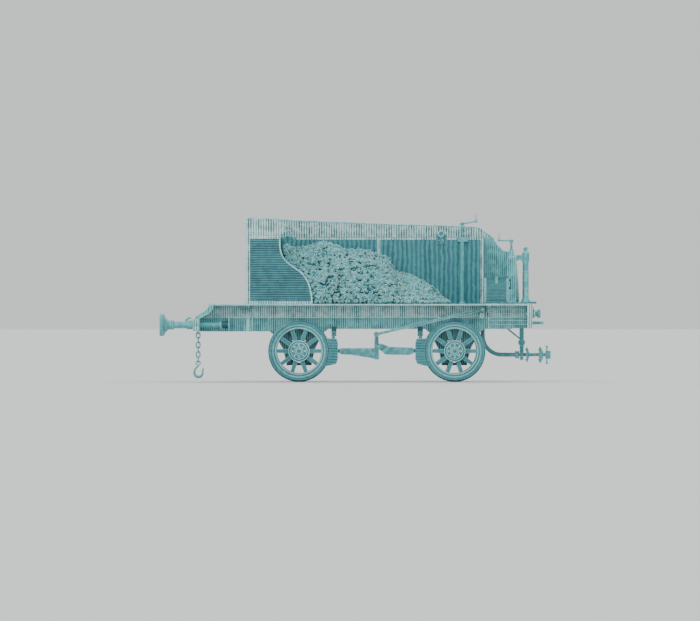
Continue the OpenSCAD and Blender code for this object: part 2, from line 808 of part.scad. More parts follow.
// Quarter bend of the pipe in the x-z plane about a centre
module bend(cx, cz, r, start) {
    translate([cx, pipe_y, cz]) rotate([90, 0, 0]) rotate([0, 0, start])
        rotate_extrude(angle = 90) translate([r, 0]) circle(r = pipe_r);
}

module feed_pipe() {
    color(iron) {
        bend(valve_x + pipe_bend, valve_box_low, pipe_bend, 180);
        along_x(pipe_y, pipe_top_z, pipe_r, valve_x + pipe_bend, pipe_drop_x - pipe_bend);
        bend(pipe_drop_x - pipe_bend, pipe_top_z - pipe_bend, pipe_bend, 0);
        along_z(pipe_drop_x, pipe_y, pipe_r, pipe_z + pipe_sweep, pipe_top_z - pipe_bend);
        bend(pipe_drop_x + pipe_sweep, pipe_z + pipe_sweep, pipe_sweep, 180);
        along_x(pipe_y, pipe_z, pipe_r, pipe_drop_x + pipe_sweep, gland_x);
        turned_x(gland_x, pipe_y, pipe_z, [[slide_r + 4, 0], [70, 0], [70, 25], [60, 30],
            [60, 45], [70, 50], [70, gland_front - gland_x], [slide_r + running, gland_front - gland_x],
            [slide_r + running, 50], [slide_r + 4, 50]]);
        turned_x(gland_x, pipe_y, pipe_z, [[0, -5], [pipe_r, -5], [70, 0], [70, 10], [0, 10]]);
    }
}

slide_r = 30;

module pipe_bracket() {
    color(iron) difference() {
        union() {
            box(link_x - link_t / 2, link_x + link_t / 2, pipe_y - 12, plate_in,
                beam_low_z + 20, beam_low_z + 80);
            plate([[link_x - 40, beam_low_z + 80], [link_x + 40, beam_low_z + 80],
                [link_x + 40, pipe_z + 190], [link_x + 30, pipe_z - 100],
                [link_x - 30, pipe_z - 100], [link_x - 40, pipe_z + 190]], pipe_y - 14, pipe_y + 14);
            along_y(link_x, pipe_z + 225, 65, pipe_y - 30, pipe_y + 30);
            along_x(pipe_y, pipe_z, 62, link_x - 20, link_x + 20);
            strut([link_x - 250, plate_low_z - 5], [link_x - 45, 800], 30, pipe_y - 12, pipe_y + 12);
            strut([link_x - 60, 803], [link_x, 790], 26, pipe_y - 12, pipe_y + 12);
            box(link_x - 280, link_x - 220, pipe_y - 12, plate_in, beam_low_z, beam_low_z + 40);
            strut([link_x - 250, beam_low_z + 20], [link_x - 250, plate_low_z - 15], 40, pipe_y - 12, pipe_y + 12);
        }
        along_x(pipe_y, pipe_z, slide_r + 6, link_x - 60, link_x + 60);
    }
}

// Sliding nose of the pipe with its flanges, coupling and handles
module feed_slider() {
    color(iron) {
        turned_x(0, pipe_y, pipe_z, [[0, gland_x + 35], [slide_r, gland_x + 35],
            [slide_r, 3140], [135, 3140], [135, 3165], [70, 3185], [slide_r, 3200],
            [slide_r, 3375], [147, 3375], [147, 3410], [110, 3425], [60, 3450], [slide_r, 3450],
            [slide_r, 3490], [75, 3490], [75, 3585], [60, 3590], [34, 3590], [34, 3560], [0, 3560]]);
        along_z(3520, pipe_y, 12, pipe_z - 150, pipe_z + 150);
        for (s = [-1, 1]) translate([3520, pipe_y, pipe_z + s * 150]) sphere(r = 22);
    }
}

// ---- Ends ----

module buffer_guides() {
    color(iron) both_sides() {
        turned_x(0, buffer_y, buffer_z, [[buffer_rod_r + running, headstock_x - 130],
            [82, headstock_x - 130], [82, headstock_x - 20], [110, headstock_x - 15],
            [110, headstock_x], [buffer_rod_r + running, headstock_x]]);
        difference() {
            box(spring_front, spring_front + 20, doubler_y - doubler_t, deck_half - 10,
                rear_low_z + 20, deck_low - doubler_h);
            along_x(buffer_y, buffer_z, buffer_tail_r + 1, spring_front - 1, spring_front + 21);
        }
    }
}

module buffer(y) {
    color(paint_pale) turned_x(0, y, buffer_z, [[0, buffer_face_x], [head_d / 2 - 8, buffer_face_x],
        [head_d / 2, buffer_face_x + 8], [head_d / 2, buffer_face_x + 55],
        [head_d / 2 - 60, buffer_face_x + 80], [95, buffer_face_x + 130], [72, buffer_face_x + 190],
        [85, buffer_face_x + 192], [85, buffer_face_x + 245], [buffer_rod_r, buffer_face_x + 245],
        [buffer_rod_r, headstock_x - buffer_tail_gap], [buffer_tail_r, headstock_x - buffer_tail_gap],
        [buffer_tail_r, spring_rear - 20], [66, spring_rear - 20], [66, spring_rear],
        [20, spring_rear], [20, spring_front + 15], [0, spring_front + 15]]);
}
buffer_travel = 75;
buffer_tail_gap = buffer_travel + 6;

module buffer_near() {
    buffer(-buffer_y);
}
module buffer_far() {
    buffer(buffer_y);
}

module buffer_spring(y) {
    color(iron) turned_x(0, y, buffer_z, [for (i = [0 : 12])
            [i % 2 == 0 ? 72 : 58, spring_rear + gap / 2 + (spring_front - spring_rear - gap) * i / 12],
        [24, spring_front - gap / 2], [24, spring_rear + gap / 2]]);
}
module buffer_spring_near() {
    buffer_spring(-buffer_y);
}
module buffer_spring_far() {
    buffer_spring(buffer_y);
}

module front_buffer(y) {
    color(iron) turned_x(0, y, front_buffer_z, [[0, beam_x - 30], [65, beam_x - 30], [65, beam_x - 1],
        [45, beam_x - 1], [45, beam_front_x + 105], [78, beam_front_x + 110],
        [78, beam_front_x + 145], [60, beam_front_x + 155], [0, beam_front_x + 155]]);
}
module front_buffer_near() {
    front_buffer(-front_buffer_y);
}
module front_buffer_far() {
    front_buffer(front_buffer_y);
}

hook_x = headstock_x - 55;

module drawhook() {
    color(iron) {
        along_x(0, hook_z, 32, headstock_x - 30, headstock_front + 120);
        along_x(0, hook_z, 46, headstock_front + 60, headstock_front + 100);
        difference() {
            along_y(hook_x, hook_z + 30, 88, -22, 22);
            along_y(hook_x - 5, hook_z + 45, 48, -23, 23);
            plate([[hook_x - 5, hook_z + 45], [hook_x + 40, hook_z + 160], [hook_x + 120, hook_z + 90],
                [hook_x + 120, hook_z + 33], [hook_x + 40, hook_z + 33]], -23, 23);
            box(headstock_x - 3, headstock_x + 80, -50, 50, hook_z - 100, hook_z + 200);
        }
    }
}

module drawbar() {
    color(iron) difference() {
        union() {
            box(beam_x + beam_t / 2 - 10, 3390, -45, 45, drawbar_z - 27, drawbar_z + 27);
            along_z(3390, 0, 60, drawbar_z - 27, drawbar_z + 27);
            along_z(beam_x + beam_t / 2, 0, 44, drawbar_z - 27, drawbar_z + 27);
        }
        along_z(3390, 0, drawbar_hole_d / 2, drawbar_z - 30, drawbar_z + 30);
        along_z(beam_x + beam_t / 2, 0, 24 + running, drawbar_z - 30, drawbar_z + 30);
    }
}

// One chain link about its own centre, lying in the x-z plane or across it
module link(index) {
    z = first_link_z - index * link_pitch;
    half = (link_inner + 2 * bar_r) / 2;
    side = (link_w - 2 * bar_r) / 2;
    translate([chain_x, 0, z]) rotate([0, 0, index % 2 == 0 ? 0 : 90]) {
        for (s = [-1, 1]) {
            translate([s * side, 0, side - half]) cylinder(r = bar_r, h = 2 * (half - side));
            translate([0, 0, s * (half - side)]) rotate([90, 0, 0]) rotate([0, 0, s > 0 ? 0 : 180])
                rotate_extrude(angle = 180) translate([side, 0]) circle(r = bar_r);
        }
    }
}

module chain_upper() {
    color(iron) for (i = [0 : 2]) link(i);
}
module chain_lower() {
    color(iron) for (i = [3 : 5]) link(i);
}

link_end_z = first_link_z - 5 * link_pitch - (link_inner + 2 * bar_r) / 2;
eye_hole_r = 26;
eye_slack = 3;
eye_z = link_end_z - eye_hole_r + bar_r + eye_slack;
hook_r = 102;
hook_centre = [chain_x + 7, hook_r + 62];

module chain_hook() {
    color(iron) difference() {
        union() {
            along_y(chain_x, eye_z, 50, -11, 11);
            plate([[chain_x - 20, eye_z - 30], [chain_x + 20, eye_z - 30],
                [chain_x - 30, hook_centre[1] + 88], [chain_x - 78, hook_centre[1] + 60]], -11, 11);
            along_y(hook_centre[0], hook_centre[1], hook_r, -14, 14);
            strut(hook_centre + [78, 20], hook_centre + [92, 98], 26, -14, 14);
        }
        along_y(chain_x, eye_z, eye_hole_r, -12, 12);
        along_y(hook_centre[0] + 3, hook_centre[1] + 12, 52, -15, 15);
        plate([hook_centre, hook_centre + [-30, 100], hook_centre + [55, 130],
            hook_centre + [66, 24]], -15, 15);
    }
}

fall_x = beam_front_x - 140;
fall_pin_r = 9;
fall_z = foot_z + 16;

module fall_plate() {
    color(paint_mid) {
        difference() {
            box(fall_x, board_front, -650, 650, foot_z + gap, foot_z + gap + 10);
            both_sides() for (y = [120, 560])
                box(fall_x - 20, fall_x + 20, y - 23, y + 23, foot_z, foot_z + 40);
        }
        along_y(fall_x, fall_z, fall_pin_r, -600, 600);
        both_sides() for (y = [60, 340, 500])
            box(fall_x - 3, fall_x + 30, y - 20, y + 20, foot_z + gap + 5, fall_z + 6);
    }
}

// ---- Hand brake ----

crank_hub_z = brake_crank_z;

module brake_crank() {
    grip_x = brake_screw_x - 230;
    color(iron) {
        along_z(brake_screw_x, brake_screw_y, brake_screw_d / 2, screw_low, crank_hub_z);
        along_z(brake_screw_x, brake_screw_y, 36, crank_hub_z - 25, crank_hub_z + 25);
        strut([brake_screw_x, crank_hub_z], [grip_x, crank_hub_z + 8], 28,
            brake_screw_y - 12, brake_screw_y + 12);
        along_z(grip_x, brake_screw_y, 18, crank_hub_z - 8, crank_hub_z + 26);
        along_z(grip_x, brake_screw_y, 9, crank_hub_z + 20, crank_hub_z + 170);
    }
}

screw_low = nut_z - 130;

module brake_grip() {
    color(iron) difference() {
        turned_z(brake_screw_x - 230, brake_screw_y, crank_hub_z + 27, [[0, 0], [15, 0], [22, 30],
            [22, 90], [15, 140], [0, 140]]);
        along_z(brake_screw_x - 230, brake_screw_y, 9 + running, crank_hub_z, crank_hub_z + 200);
    }
}

nut_half = 36;

module brake_nut() {
    color(iron) difference() {
        union() {
            box(brake_screw_x - nut_half, brake_screw_x + nut_half, brake_screw_y - nut_half,
                brake_screw_y + nut_half, nut_z - 35, nut_z + 35);
            along_y(brake_screw_x, nut_z, 18, brake_screw_y - nut_half - 26,
                brake_screw_y + nut_half + 26);
        }
        along_z(brake_screw_x, brake_screw_y, brake_screw_d / 2 + running, nut_z - 40, nut_z + 40);
    }
}

fork_in = nut_half + 5;
fork_out = nut_half + 25;

// Cross shaft with its long fork to the nut and a short arm to each pull rod
module brake_shaft() {
    color(iron) difference() {
        union() {
            along_y(brake_shaft_x, brake_shaft_z, brake_shaft_d / 2, -rod_in + 2, brake_screw_y + fork_out);
            for (s = [-1, 1]) let (y = brake_screw_y + s * (fork_in + fork_out) / 2)
                strut([brake_shaft_x, brake_shaft_z], [brake_screw_x + 55, brake_shaft_z], 70, y - 10, y + 10);
            mirror([0, 1, 0]) shaft_arm();
            shaft_arm();
        }
        for (s = [-1, 1]) let (y = brake_screw_y + s * (fork_in + fork_out) / 2)
            box(brake_screw_x - 26, brake_screw_x + 26, y - 11, y + 11, brake_shaft_z - 21, brake_shaft_z + 21);
    }
}

arm_t = 25;
shaft_arm_in = brake_screw_y + fork_out;

module shaft_arm() {
    along_y(brake_shaft_x, brake_shaft_z, brake_shaft_d / 2, shaft_arm_in - arm_t, shaft_arm_in + arm_t);
    strut([brake_shaft_x, brake_shaft_z], pull_eye, 60, shaft_arm_in, shaft_arm_in + arm_t);
    along_y(pull_eye[0], pull_eye[1], 42, shaft_arm_in, shaft_arm_in + arm_t);
    along_y(pull_eye[0], pull_eye[1], pin_r, shaft_arm_in + arm_t - 1, pull_out + 4);
}

module pull_rods() {
    color(iron) both_sides() difference() {
        union() {
            strut(pull_eye, lever_eye, 46, pull_in, pull_out);
            along_y(pull_eye[0], pull_eye[1], 40, pull_in, pull_out);
            along_y(lever_eye[0], lever_eye[1], 47, pull_in, pull_out);
        }
        along_y(pull_eye[0], pull_eye[1], pin_r + running, pull_in - 1, pull_out + 1);
        along_y(lever_eye[0], lever_eye[1], pin_r + 6, pull_in - 1, pull_out + 1);
    }
}

// Hangers, blocks, pin tongues and cross beam of one axle; side is 1 in front of its wheel
module brake_gear(axle_x, hanger_x, side, pin) {
    face = tread_r + block_gap;
    back = axle_x + side * (face + 165);
    difference() {
        union() {
            both_sides() {
                plate([[axle_x + side * (tread_r - 95), wheel_z + 235], [back - side * 25, wheel_z + 225],
                    [back, wheel_z + 150], [back, wheel_z - 150], [back - side * 30, wheel_z - 235],
                    [axle_x + side * (tread_r - 105), wheel_z - 290]], brake_y - block_w / 2, brake_y + block_w / 2);
                strut([hanger_x, hanger_z], [back - side * 95, wheel_z + 130], 56,
                    brake_y - tongue_half, brake_y + tongue_half);
                along_y(hanger_x, hanger_z, 42, brake_y - tongue_half, brake_y + tongue_half);
                strut([back - side * 20, pin[1]], pin, 70, brake_y - tongue_half, brake_y + tongue_half);
                along_y(pin[0], pin[1], 38, brake_y - tongue_half, brake_y + tongue_half);
            }
            box(back - side * 75 - 30, back - side * 75 + 30, -brake_y, brake_y, wheel_z - 130, wheel_z - 70);
        }
        both_sides() {
            translate([axle_x, brake_y + block_w, wheel_z]) rotate([90, 0, 0])
                cylinder(r = face, h = 2 * block_w, $fn = 360);
            translate([axle_x, tyre_in + flange_w + 4, wheel_z]) rotate([90, 0, 0])
                cylinder(r = flange_r + block_gap, h = block_w, $fn = 360);
            along_y(hanger_x, hanger_z, 20 + running, brake_y - 40, brake_y + 40);
            along_y(pin[0], pin[1], pin_r + running, brake_y - 40, brake_y + 40);
        }
    }
}

module brake_gear_rear() {
    color(iron) brake_gear(rear_axle_x, rear_hanger_x, 1, rear_pin);
}
module brake_gear_front() {
    color(iron) brake_gear(front_axle_x, front_hanger_x, -1, front_pin);
}

module push_rods_rear() {
    color(paint_mid) both_sides() {
        difference() {
            union() {
                plate([[rear_pin[0] - 45, wheel_z - 59], [rear_pin[0] - 45, wheel_z + 51],
                    [lever_pin[0] + 20, wheel_z + 51], [lever_pin[0] + 50, wheel_z - 4],
                    [lever_pin[0] + 50, wheel_z - 152], [lever_pin[0] - 60, wheel_z - 129],
                    [rear_pin[0] + 160, wheel_z - 69]], rod_in, rod_out);
                along_y(rear_pin[0], rear_pin[1], pin_r, brake_y - tongue_half - 8, rod_in + 1);
            }
            along_y(lever_pin[0], lever_pin[1], pin_r + running, rod_in - 1, rod_out + 1);
        }
    }
}

module push_rods_front() {
    color(paint_mid) both_sides() {
        difference() {
            union() {
                plate([[lever_lug[0] - 30, wheel_z + 36], [lever_lug[0] - 38, wheel_z + 126],
                    [lever_lug[0] + 40, wheel_z + 128],
                    [lever_lug[0] + 160, wheel_z + 76],
                    [front_pin[0] + 45, wheel_z + 58], [front_pin[0] + 55, wheel_z - 44],
                    [front_pin[0] - 30, wheel_z - 72], [lever_lug[0] + 90, wheel_z - 64]], rod_in, rod_out);
                along_y(front_pin[0], front_pin[1], pin_r, brake_y - tongue_half - 8, rod_in + 1);
            }
            along_y(lever_lug[0], lever_lug[1], pin_r + 6, rod_in - 1, rod_out + 1);
        }
    }
}

module brake_levers() {
    color(paint_pale) {
        both_sides() {
            plate([[345, wheel_z - 154], [430, wheel_z - 154], [425, wheel_z + 36],
                [415, lever_eye[1]], [350, lever_eye[1]], [340, wheel_z + 36]], lever_in, lever_out);
            along_y(lever_eye[0], lever_eye[1], 44, lever_in, lever_out);
            along_y(lever_lug[0], lever_lug[1], 34, lever_in, lever_out);
            plate([[400, wheel_z + 46], [lever_lug[0], lever_lug[1] - 33],
                [lever_lug[0], lever_lug[1] + 33], [400, wheel_z + 156]], lever_in, lever_out);
            plate([[300, wheel_z - 134], [400, wheel_z - 134], [400, wheel_z - 64],
                [300, wheel_z - 64]], lever_in, lever_out);
            along_y(lever_pin[0], lever_pin[1], pin_r, rod_in - 6, lever_in + 1);
            along_y(lever_lug[0], lever_lug[1], pin_r, rod_in - 6, lever_in + 1);
            along_y(lever_eye[0], lever_eye[1], pin_r, lever_out - 1, pull_out + 4);
        }
    }
}

frame_plates();
frame_stays();
frame_doublers();
rear_headstock();
rear_apron();
front_beam();
deck_planks();
footplate_boards();
horn_guides();
tank_rear_sheets();
tank_side_far();
tank_inner_wall();
tank_partition();
tank_top();
coping();
coke_load();
filler_neck();
filler_lid();
toolbox();
toolbox_lid();
handrail_columns();
brake_casing();
valve_casing();
feed_pipe();
pipe_bracket();
buffer_guides();
fall_plate();
axle_rear();
wheels_rear();
tyres_rear();
axle_front();
wheels_front();
tyres_front();
axleboxes();
leaf_springs();
buffer_near();
buffer_far();
buffer_spring_near();
buffer_spring_far();
front_buffer_near();
front_buffer_far();
drawhook();
drawbar();
chain_upper();
chain_lower();
chain_hook();
valve_crank();
valve_grip();
valve_plug();
brake_crank();
brake_grip();
brake_nut();
brake_shaft();
pull_rods();
brake_levers();
brake_gear_rear();
brake_gear_front();
push_rods_rear();
push_rods_front();
feed_slider();
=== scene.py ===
"""Looks of the four-wheeled tender: painted iron, rivets, beading, coke and forged hooks."""

import json
import logging
import math
import random
from dataclasses import dataclass, field
from enum import Enum
from itertools import product
from typing import Callable, Iterable, Sequence

import bmesh
import bpy
from mathutils import Matrix, Vector

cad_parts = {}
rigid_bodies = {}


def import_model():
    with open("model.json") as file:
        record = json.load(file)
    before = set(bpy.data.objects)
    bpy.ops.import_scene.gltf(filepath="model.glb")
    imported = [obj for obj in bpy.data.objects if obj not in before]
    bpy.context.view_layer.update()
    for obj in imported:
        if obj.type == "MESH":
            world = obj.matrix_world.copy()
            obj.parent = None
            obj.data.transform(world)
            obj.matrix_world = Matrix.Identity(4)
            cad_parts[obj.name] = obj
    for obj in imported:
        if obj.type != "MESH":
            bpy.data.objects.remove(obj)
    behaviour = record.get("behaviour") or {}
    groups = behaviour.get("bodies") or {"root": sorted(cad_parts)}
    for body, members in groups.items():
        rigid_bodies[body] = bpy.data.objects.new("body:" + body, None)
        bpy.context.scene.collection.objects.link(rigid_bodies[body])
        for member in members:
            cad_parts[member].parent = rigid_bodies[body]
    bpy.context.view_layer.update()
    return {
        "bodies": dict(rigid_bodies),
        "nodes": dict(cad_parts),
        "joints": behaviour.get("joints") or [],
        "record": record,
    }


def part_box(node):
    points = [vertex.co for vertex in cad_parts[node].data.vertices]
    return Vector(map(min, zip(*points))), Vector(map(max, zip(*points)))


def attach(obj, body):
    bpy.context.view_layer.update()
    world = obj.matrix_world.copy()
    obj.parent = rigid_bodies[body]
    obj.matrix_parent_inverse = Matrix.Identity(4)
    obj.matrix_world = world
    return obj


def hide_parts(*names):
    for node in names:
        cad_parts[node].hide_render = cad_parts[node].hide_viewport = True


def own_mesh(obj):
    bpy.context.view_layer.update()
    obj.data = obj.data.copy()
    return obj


LOG = logging.getLogger("tender")

Point = tuple[float, float, float]
Colour = tuple[float, float, float]
Link = tuple[bpy.types.Node, str | int, bpy.types.Node, str | int]

ROOT = "frame"
SHARP_ANGLE = 38
TANK_TOP = 2.66
TANK_FRONT = 2.35
INNER_FACE = 0.52
SHAFT_X, SHAFT_Z = 2.31, 1.21


# ---------------------------------------------------------------- meshes


class Axis(Enum):
    """A direction of the row frame."""

    X = (1.0, 0.0, 0.0)
    Y = (0.0, 1.0, 0.0)
    Z = (0.0, 0.0, 1.0)
    NEAR = (0.0, -1.0, 0.0)
    REAR = (-1.0, 0.0, 0.0)

    @property
    def vector(self) -> Vector:
        """The direction as a vector."""
        return Vector(self.value)

    def circle(self, centre: Point, radius: float, lift: float, sides: int) -> list[Vector]:
        """Points of a circle round the direction.

        Args:
            centre: middle of the circle before it is lifted.
            radius: its radius.
            lift: how far it is moved along the direction.
            sides: how many points it has.

        Returns:
            The points, in order.
        """
        out, c = self.vector, Vector(centre)
        u = out.orthogonal().normalized()
        v = out.cross(u)
        turns = (2 * math.pi * i / sides for i in range(sides))
        return [c + (u * math.cos(a) + v * math.sin(a)) * radius + out * lift for a in turns]


@dataclass
class MeshMaker:
    """Collects vertices and faces of one piece."""

    verts: list[Vector] = field(default_factory=list)
    faces: list[tuple[int, ...]] = field(default_factory=list)

    def add(self, verts: Iterable[Vector], faces: Iterable[Sequence[int]]) -> None:
        """Adds a closed patch of mesh.

        Args:
            verts: the points of the patch.
            faces: its faces, numbered from its own first point.
        """
        base = len(self.verts)
        self.verts.extend(Vector(v) for v in verts)
        self.faces.extend(tuple(base + i for i in face) for face in faces)

    def box(self, low: Point, high: Point, chamfer: float = 0.0) -> None:
        """Adds a box whose edges are cut by a chamfer.

        Args:
            low: lowest corner.
            high: highest corner.
            chamfer: width of the cut on each edge, in metres.
        """
        lo, hi = Vector(low), Vector(high)
        c = min(chamfer, min(hi - lo) * 0.45)
        points: list[Vector] = []
        for at in product((0, 1), repeat=3):
            corner = Vector([hi[k] if at[k] else lo[k] for k in range(3)])
            for axis in range(3):
                p = corner.copy()
                for other in range(3):
                    if other != axis:
                        p[other] += -c if at[other] else c
                points.append(p)
        faces: list[list[int]] = []

        def vid(sx: int, sy: int, sz: int, axis: int) -> int:
            """Number of the corner's point that lies on the face across an axis."""
            return (sx * 4 + sy * 2 + sz) * 3 + axis

        ring = [(0, 0), (1, 0), (1, 1), (0, 1)]
        for axis in range(3):
            for side in (0, 1):
                face = []
                for a, b in ring:
                    s = [0, 0, 0]
                    s[axis], s[(axis + 1) % 3], s[(axis + 2) % 3] = side, a, b
                    face.append(vid(*s, axis))
                faces.append(face if side else face[::-1])
        for axis in range(3):
            u, v = (axis + 1) % 3, (axis + 2) % 3
            for a, b in product((0, 1), repeat=2):
                ends = []
                for end in (0, 1):
                    s = [0, 0, 0]
                    s[axis], s[u], s[v] = end, a, b
                    ends.append((vid(*s, u), vid(*s, v)))
                quad = [ends[0][0], ends[1][0], ends[1][1], ends[0][1]]
                faces.append(quad if a == b else quad[::-1])
        for at in product((0, 1), repeat=3):
            tri = [vid(*at, axis) for axis in range(3)]
            faces.append(tri if sum(at) % 2 else tri[::-1])
        self.add(points, faces)

    def dome(self, centre: Point, axis: Axis, radius: float, height: float, sides: int = 10) -> None:
        """Adds a rivet or bolt head: a low dome standing on a surface.

        Args:
            centre: middle of the foot, on the surface.
            axis: the way the head stands out.
            radius: radius of the foot.
            height: height of the head.
            sides: how many sides the ring has.
        """
        rings = [(1.0, -0.15), (0.97, 0.25), (0.75, 0.7), (0.4, 0.94)]
        points = [p for k, h in rings for p in axis.circle(centre, radius * k, height * h, sides)]
        points.append(Vector(centre) + axis.vector * height)
        faces: list[Sequence[int]] = [list(range(sides))[::-1]]
        for k in range(len(rings) - 1):
            for i in range(sides):
                j = (i + 1) % sides
                faces.append((k * sides + i, k * sides + j, (k + 1) * sides + j, (k + 1) * sides + i))
        last = (len(rings) - 1) * sides
        faces += [(last + i, last + (i + 1) % sides, len(points) - 1) for i in range(sides)]
        self.add(points, faces)

    def nut(self, centre: Point, axis: Axis, radius: float, height: float) -> None:
        """Adds a hexagon nut on its washer with a stud through it.

        Args:
            centre: middle of the washer's foot, on the surface.
            axis: the way the nut stands out.
            radius: radius of the nut, over its corners.
            height: height of the nut.
        """
        for r, low, high, sides in ((radius * 1.35, -0.002, height * 0.22, 20), (radius, height * 0.2, height, 6),
                                    (radius * 0.5, height * 0.9, height * 1.3, 12)):
            points = [p for h in (low, high) for p in axis.circle(centre, r, h, sides)]
            faces: list[Sequence[int]] = [list(range(sides))[::-1], list(range(sides, 2 * sides))]
            faces += [(i, (i + 1) % sides, sides + (i + 1) % sides, sides + i) for i in range(sides)]
            self.add(points, faces)

    def tube(self, path: Sequence[Vector], radius: Callable[[float], float], sides: int = 12,
             closed: bool = False) -> None:
        """Adds a bar of round section along a path.

        Args:
            path: points along the middle of the bar.
            radius: gives the radius from the share of the path that is passed.
            sides: sides of the section.
            closed: True for a ring.
        """
        n = len(path)
        up = Vector((0.0, 1.0, 0.0))
        points: list[Vector] = []
        previous = None
        for k in range(n):
            if closed:
                tangent = (path[(k + 1) % n] - path[k - 1]).normalized()
            else:
                tangent = (path[min(k + 1, n - 1)] - path[max(k - 1, 0)]).normalized()
            u = previous if previous is not None else up
            u = (u - tangent * u.dot(tangent))
            if u.length < 1e-5:
                u = tangent.orthogonal()
            u.normalize()
            previous = u
            v = tangent.cross(u)
            r = radius(k / max(1, n - 1))
            for i in range(sides):
                a = 2 * math.pi * i / sides
                points.append(path[k] + (u * math.cos(a) + v * math.sin(a)) * r)
        faces: list[Sequence[int]] = []
        for k in range(n if closed else n - 1):
            for i in range(sides):
                j = (i + 1) % sides
                m = (k + 1) % n
                faces.append((k * sides + i, k * sides + j, m * sides + j, m * sides + i))
        if not closed:
            faces.append(list(range(sides))[::-1])
            faces.append([(n - 1) * sides + i for i in range(sides)])
        self.add(points, faces)

    def ring(self, centre: Point, axis: Axis, radius: float, bar: float, sides: int = 64) -> None:
        """Adds a round bead bent into a circle.

        Args:
            centre: middle of the circle.
            axis: the way the circle faces.
            radius: radius of the bead's middle line.
            bar: radius of the bead itself.
            sides: how many sides the circle has.
        """
        self.tube(axis.circle(centre, radius, 0.0, sides), lambda _: bar, 8, closed=True)

    def build(self, name: str, dress: "Finish", body: str, slot: str, smooth: bool = True) -> bpy.types.Object:
        """Makes the object, dresses it and seats it on its body.

        Args:
            name: name of the piece.
            dress: the finish it wears.
            body: the CAD body that it rides on.
            slot: the material slot that it would stand in; not used.
            smooth: True for smooth shading with sharp edges kept.

        Returns:
            The new object.
        """
        mesh = bpy.data.meshes.new(name)
        mesh.from_pydata([tuple(v) for v in self.verts], [], [tuple(f) for f in self.faces])
        mesh.validate()
        mesh.update()
        obj = bpy.data.objects.new(name, mesh)
        bpy.context.scene.collection.objects.link(obj)
        if smooth:
            mesh.shade_smooth()
            mesh.set_sharp_from_angle(angle=math.radians(SHARP_ANGLE))
        mesh.materials.append(dress.material())
        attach(obj, body)
        LOG.info("piece %s: %d faces on %s", name, len(mesh.polygons), body)
        return obj


def arc(centre: Point, radius: float, start: float, end: float, count: int) -> list[Vector]:
    """Points of an arc in the x-z plane, angles in degrees from +X towards +Z."""
    return [Vector((centre[0] + radius * math.cos(math.radians(start + (end - start) * i / count)), centre[1],
                    centre[2] + radius * math.sin(math.radians(start + (end - start) * i / count))))
            for i in range(count + 1)]


def spaced(start: float, end: float, pitch: float) -> list[float]:
    """Even places from start to end, about a pitch apart."""
    count = max(1, round(abs(end - start) / pitch))
    return [start + (end - start) * i / count for i in range(count + 1)]


# ---------------------------------------------------------------- finishes


class Grain(Enum):
    """The way that brush strokes and streaks run, as a stretch of the pattern's space."""

    UPRIGHT = (34.0, 34.0, 1.1)
    LEVEL = (1.3, 1.3, 30.0)
    CAST = (9.0, 9.0, 9.0)


def node(tree: bpy.types.NodeTree, kind: str, **settings: object) -> bpy.types.Node:
    """Adds a node.

    Args:
        tree: the tree that gets the node.
        kind: Blender's name for the node.
        settings: its properties; a leading i_ sets the input of that number instead.

    Returns:
        The new node.
    """
    made = tree.nodes.new(kind)
    for key, value in settings.items():
        if key.startswith("i_"):
            made.inputs[int(key[2:])].default_value = value
        else:
            setattr(made, key, value)
    return made


def wire(tree: bpy.types.NodeTree, links: Iterable[Link]) -> None:
    """Links nodes by a table of source, output, target and input."""
    for source, output, target, entry in links:
        tree.links.new(source.outputs[output], target.inputs[entry])


def open_group(name: str, inputs: dict[str, float | None], outputs: Sequence[str]) -> tuple[
        bpy.types.NodeTree, bpy.types.Node | None, bpy.types.Node | None]:
    """Starts a shader node group, or finds it where it was built before.

    Args:
        name: name of the group.
        inputs: its inputs and their first values; None makes a vector.
        outputs: names of its outputs, all numbers.

    Returns:
        The group with its entry and leaving nodes, which are None for a group that stands already.
    """
    if name in bpy.data.node_groups:
        return bpy.data.node_groups[name], None, None
    tree = bpy.data.node_groups.new(name, "ShaderNodeTree")
    for label, value in inputs.items():
        kind = "NodeSocketVector" if value is None else "NodeSocketFloat"
        made = tree.interface.new_socket(name=label, in_out="INPUT", socket_type=kind)
        if value is not None:
            made.default_value = value
    for label in outputs:
        tree.interface.new_socket(name=label, in_out="OUTPUT", socket_type="NodeSocketFloat")
    return tree, node(tree, "NodeGroupInput"), node(tree, "NodeGroupOutput")


